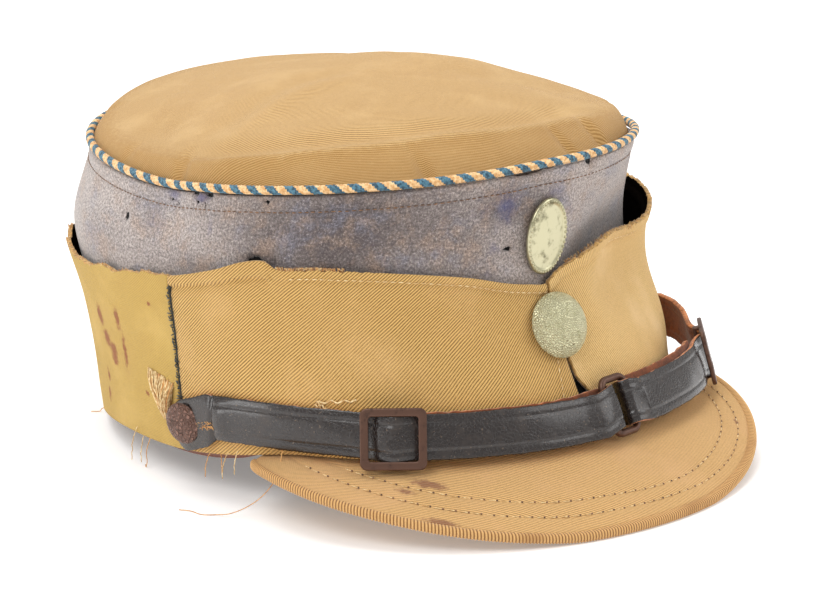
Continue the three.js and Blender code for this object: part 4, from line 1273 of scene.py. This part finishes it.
class KEPI_OT_threads(bpy.types.Operator):
    """Adds the loose threads, frayed edges and darned repairs"""
    bl_idname = "kepi.threads"
    bl_label = "Loose threads"

    def execute(self, context):
        chance = random.Random(11)
        bm = new_bmesh()
        # theta, z, out, outward pull, ahead pull, up pull, length, curl, material
        threads = ((134, 1.5, 1, 0.9, 0.6, 0.2, 7, 0.5, 1), (103, 13, 1.5, 0.5, 0.3, -0.8, 13, 1.0, 0),
                   (98.5, 11, 2, 0.4, 0.3, -0.9, 14, 0.6, 1), (101, 10, 2, 0.4, -0.2, -0.8, 9, 0.9, 0),
                   (79, 14, 3, 0.5, 0.3, -0.9, 8, 0.9, 1), (76, 15, 3, 0.5, -0.4, -0.6, 7, 1.2, 1),
                   (74, 16, 3, 0.6, 0.1, -0.9, 9, 1.1, 0), (71, 18, 4, 0.5, 0.2, -0.9, 8, 0.9, 0))
        for theta, z, out, away, ahead_pull, up_pull, length, curl, material in threads:
            ahead, up, outward = directions(theta, z, out)
            pull = outward * away + ahead * ahead_pull + up * up_pull
            line = loose_line(band_at(theta, z, out), pull, length, curl, chance)
            lay_rod(bm, line, 0.15, 5, material=material)
        trail = Table("theta z out", (61, 22, 4), (62, 12, 8), (66, 4, 12), (71, 0.5, 16), (78, 0.3, 19))
        line = [band_at(theta, trail.read("z", theta), trail.read("out", theta) + 0.5 * math.sin(theta * 1.3))
                for theta in (61 + k * 17 / 44 for k in range(45))]
        lay_rod(bm, line, 0.15, 5, material=1)
        make_piece(bm, "loose_threads", "cream_thread orange_thread")

        bm = new_bmesh()
        for k in range(120):
            theta = mix(89.2, 96.6, chance.random())
            z = 33 + (theta - 90) * 0.25 + chance.uniform(-1.2, 1.2)
            foot = on_curtain(theta, z, 0.2)
            ahead, up, outward = directions(theta, z, 3)
            tip = on_curtain(mix(theta, 91.6, 0.72), z - chance.uniform(9, 12.5), chance.uniform(0.4, 1.8))
            middle = foot.lerp(tip, 0.5) + outward * chance.uniform(0.6, 4)
            middle += ahead * chance.uniform(-1.2, 1.2)
            line = [foot.lerp(middle, t / 4).lerp(middle.lerp(tip, t / 4), t / 4) for t in range(5)]
            lay_rod(bm, line, chance.uniform(0.16, 0.3), 5, material=chance.choice((0, 0, 1)))
        make_piece(bm, "frayed_clump", "cream_thread orange_thread")

        bm = new_bmesh()
        matrix = button_seat(1)
        for k in range(60):
            ahead = mix(5, 15, chance.random())
            beside = chance.choice((-1, 1)) * chance.uniform(0.3, 0.9)
            foot = matrix @ Vector((ahead, slit_line(ahead) + beside, 0.9))
            reach = Vector((chance.uniform(-1.4, 1.4), chance.uniform(-0.7, 0.7), chance.uniform(0.1, 0.6)))
            tip = foot + matrix.to_3x3() @ reach
            lay_rod(bm, [foot, foot.lerp(tip, 0.5) + Vector((0, 0, 0.15)), tip], [0.16, 0.12, 0.05], 4)
        make_piece(bm, "torn_fibres", "orange_thread")

        bm = new_bmesh()
        for k in range(46):
            z = mix(24, 68, (k + chance.uniform(-0.4, 0.4)) / 46)
            a = on_curtain(87 + chance.uniform(0.2, 1.4), z + chance.uniform(-0.8, 0.8), 0.25)
            b = on_curtain(87 - chance.uniform(0.1, 0.9), z + chance.uniform(-0.8, 0.8), 0.35)
            lay_rod(bm, [a, a.lerp(b, 0.5) + (a - Vector((0, 0, a.z))).normalized() * 0.4, b], 0.2, 5)
        line = [on_curtain(87.0 + 0.25 * grain(z, 0, 0, 3), z, -0.3) for z in range(16, 70)]
        lay_rod(bm, line, 0.45, 6)
        make_piece(bm, "seam_darning", "dark_thread")

        bm = new_bmesh()
        spots = ((52.5, 44.5, 36.8, 0.9), (52.8, 50.8, 36, -2.6), (52.2, 50.2, 36.8, -3))
        for start, end, z, slope in spots:
            line = []
            for k in range(24):
                theta = mix(start, end, k / 23)
                wavy = z + slope * k / 23 + 0.35 * math.sin(k * 0.9)
                line.append(on_curtain(theta, wavy, 0.8 + 0.4 * math.sin(k * 0.6)))
            lay_rod(bm, line, 0.28, 5)
        make_piece(bm, "snagged_thread", "cream_thread")

        bm = new_bmesh()
        for k in range(520):
            theta = chance.choice((chance.uniform(88, 140), chance.uniform(-42, -7), chance.uniform(44, 58)))
            torn = 2.2 * grain(theta * 1.6, 0, 2, 7) * ramp(87, 91, theta)
            foot = curtain_point(theta, 1, chance.uniform(-1.4, -0.2), torn - 0.6)
            ahead, up, outward = directions(theta, 60, 3)
            pull = up + ahead * chance.uniform(-0.8, 0.8) + outward * chance.uniform(-0.4, 0.6)
            tip = foot + pull * 1.3 + ahead * chance.uniform(-0.4, 0.4)
            lay_rod(bm, [foot, foot + pull * 0.7, tip], [0.14, 0.1, 0.05], 4,
                    material=chance.choice((0, 0, 1)))
        make_piece(bm, "frayed_edges", "orange_thread cream_thread")
        return {"FINISHED"}


# ---- Stage ---------------------------------------------------------------------------------------------

# Name, place and width in metres, and power in watts.
LIGHTS = (("Top", (0.1, 0.45, 1.5), 1.5, 17), ("Key", (-0.9, -0.35, 1.1), 0.8, 7.5),
          ("Fill", (0.9, -0.9, 0.8), 1.0, 6), ("Side", (-1.15, 0.33, 0.13), 0.45, 2.4))
# The camera stands one metre from the target. Angles in degrees, its lens in mm, its target in mm and
# how far to the right of it and below it the camera aims, in mm.
CAMERA = {"azimuth": -38, "elevation": 14.5, "roll": -1, "lens": 129.9, "target": (0, -7, 62),
          "right": 2.94, "down": 14.36}


class KEPI_OT_stage(bpy.types.Operator):
    """Adds the pale floor, the soft lights and the camera"""
    bl_idname = "kepi.stage"
    bl_label = "Stage"

    def execute(self, context):
        scene, colours = context.scene, context.scene.kepi_colours
        bm = bmesh.new()
        bmesh.ops.create_grid(bm, x_segments=1, y_segments=1, size=6)
        mesh = bpy.data.meshes.new("floor")
        bm.to_mesh(mesh)
        bm.free()
        floor = bpy.data.objects.new("floor", mesh)
        scene.collection.objects.link(floor)
        # Matt white studio paper, so smooth that only its soft shadows show.
        paper, _, shader = start_material("White studio paper", Roughness=0.9)
        shader.inputs["Base Color"].default_value = (*colours.floor, 1)
        shader.inputs["Emission Color"].default_value = (1, 1, 1, 1)
        shader.inputs["Emission Strength"].default_value = 0.2
        mesh.materials.append(paper)

        world = bpy.data.worlds.new("Studio")
        world.use_nodes = True
        sky = world.node_tree.nodes["Background"]
        sky.inputs["Color"].default_value = (*colours.sky, 1)
        sky.inputs["Strength"].default_value = 0.6
        scene.world = world
        scene.view_settings.view_transform = "Standard"
        scene.view_settings.look = "None"

        for name, place, size, power in LIGHTS:
            lamp = bpy.data.lights.new(name, "AREA")
            lamp.shape, lamp.size, lamp.energy = "DISK", size, power
            light = bpy.data.objects.new(name, lamp)
            scene.collection.objects.link(light)
            light.location = place
            light.rotation_mode = "QUATERNION"
            light.rotation_quaternion = (Vector(place) - Vector((0, 0, 0.05))).to_track_quat("Z", "Y")

        azimuth, elevation, roll = (math.radians(CAMERA[name]) for name in ("azimuth", "elevation", "roll"))
        back = Vector((math.sin(azimuth) * math.cos(elevation), -math.cos(azimuth) * math.cos(elevation),
                       math.sin(elevation)))
        level = Vector((math.cos(azimuth), math.sin(azimuth), 0))
        up = back.cross(level)
        right = level * math.cos(roll) + up * math.sin(roll)
        up = up * math.cos(roll) - level * math.sin(roll)
        target = Vector(CAMERA["target"]) * MM
        place = target + back
        aim = target + right * CAMERA["right"] * MM - up * CAMERA["down"] * MM
        z_axis = (place - aim).normalized()
        x_axis = up.cross(z_axis).normalized()
        lens = bpy.data.cameras.new("Camera")
        lens.lens, lens.sensor_width = CAMERA["lens"], 36
        camera = bpy.data.objects.new("Camera", lens)
        scene.collection.objects.link(camera)
        camera.rotation_mode = "QUATERNION"
        camera.location = place
        turn = Matrix((x_axis, z_axis.cross(x_axis), z_axis)).transposed()
        camera.rotation_quaternion = turn.to_quaternion()
        scene.camera = camera
        return {"FINISHED"}


STEPS = ("stage", "crown", "band", "piping", "curtains", "peak", "sweatband", "straps", "fittings", "front",
         "stitching", "threads")


class KEPI_PT_panel(bpy.types.Panel):
    """Lists the cap's pieces and settings"""
    bl_idname = "KEPI_PT_panel"
    bl_label = "Kepi cap"
    bl_space_type = "VIEW_3D"
    bl_region_type = "UI"
    bl_category = "Kepi"

    def draw(self, context):
        for name in KEPI_PG_sizes.__annotations__:
            self.layout.prop(context.scene.kepi_sizes, name)
        for name in KEPI_PG_colours.__annotations__:
            self.layout.prop(context.scene.kepi_colours, name)
        for step in STEPS:
            self.layout.operator("kepi." + step)


CLASSES = (KEPI_PG_sizes, KEPI_PG_colours, KEPI_OT_stage, KEPI_OT_crown, KEPI_OT_band, KEPI_OT_piping,
           KEPI_OT_curtains, KEPI_OT_peak, KEPI_OT_sweatband, KEPI_OT_straps, KEPI_OT_fittings, KEPI_OT_front,
           KEPI_OT_stitching, KEPI_OT_threads, KEPI_PT_panel)


def register():
    for cls in CLASSES:
        bpy.utils.register_class(cls)
    bpy.types.Scene.kepi_sizes = PointerProperty(type=KEPI_PG_sizes)
    bpy.types.Scene.kepi_colours = PointerProperty(type=KEPI_PG_colours)


def unregister():
    del bpy.types.Scene.kepi_colours
    del bpy.types.Scene.kepi_sizes
    for cls in reversed(CLASSES):
        bpy.utils.unregister_class(cls)


def main():
    register()
    for step in STEPS:
        getattr(bpy.ops.kepi, step)()
    bpy.context.view_layer.update()


if __name__ == "__main__":
    main()
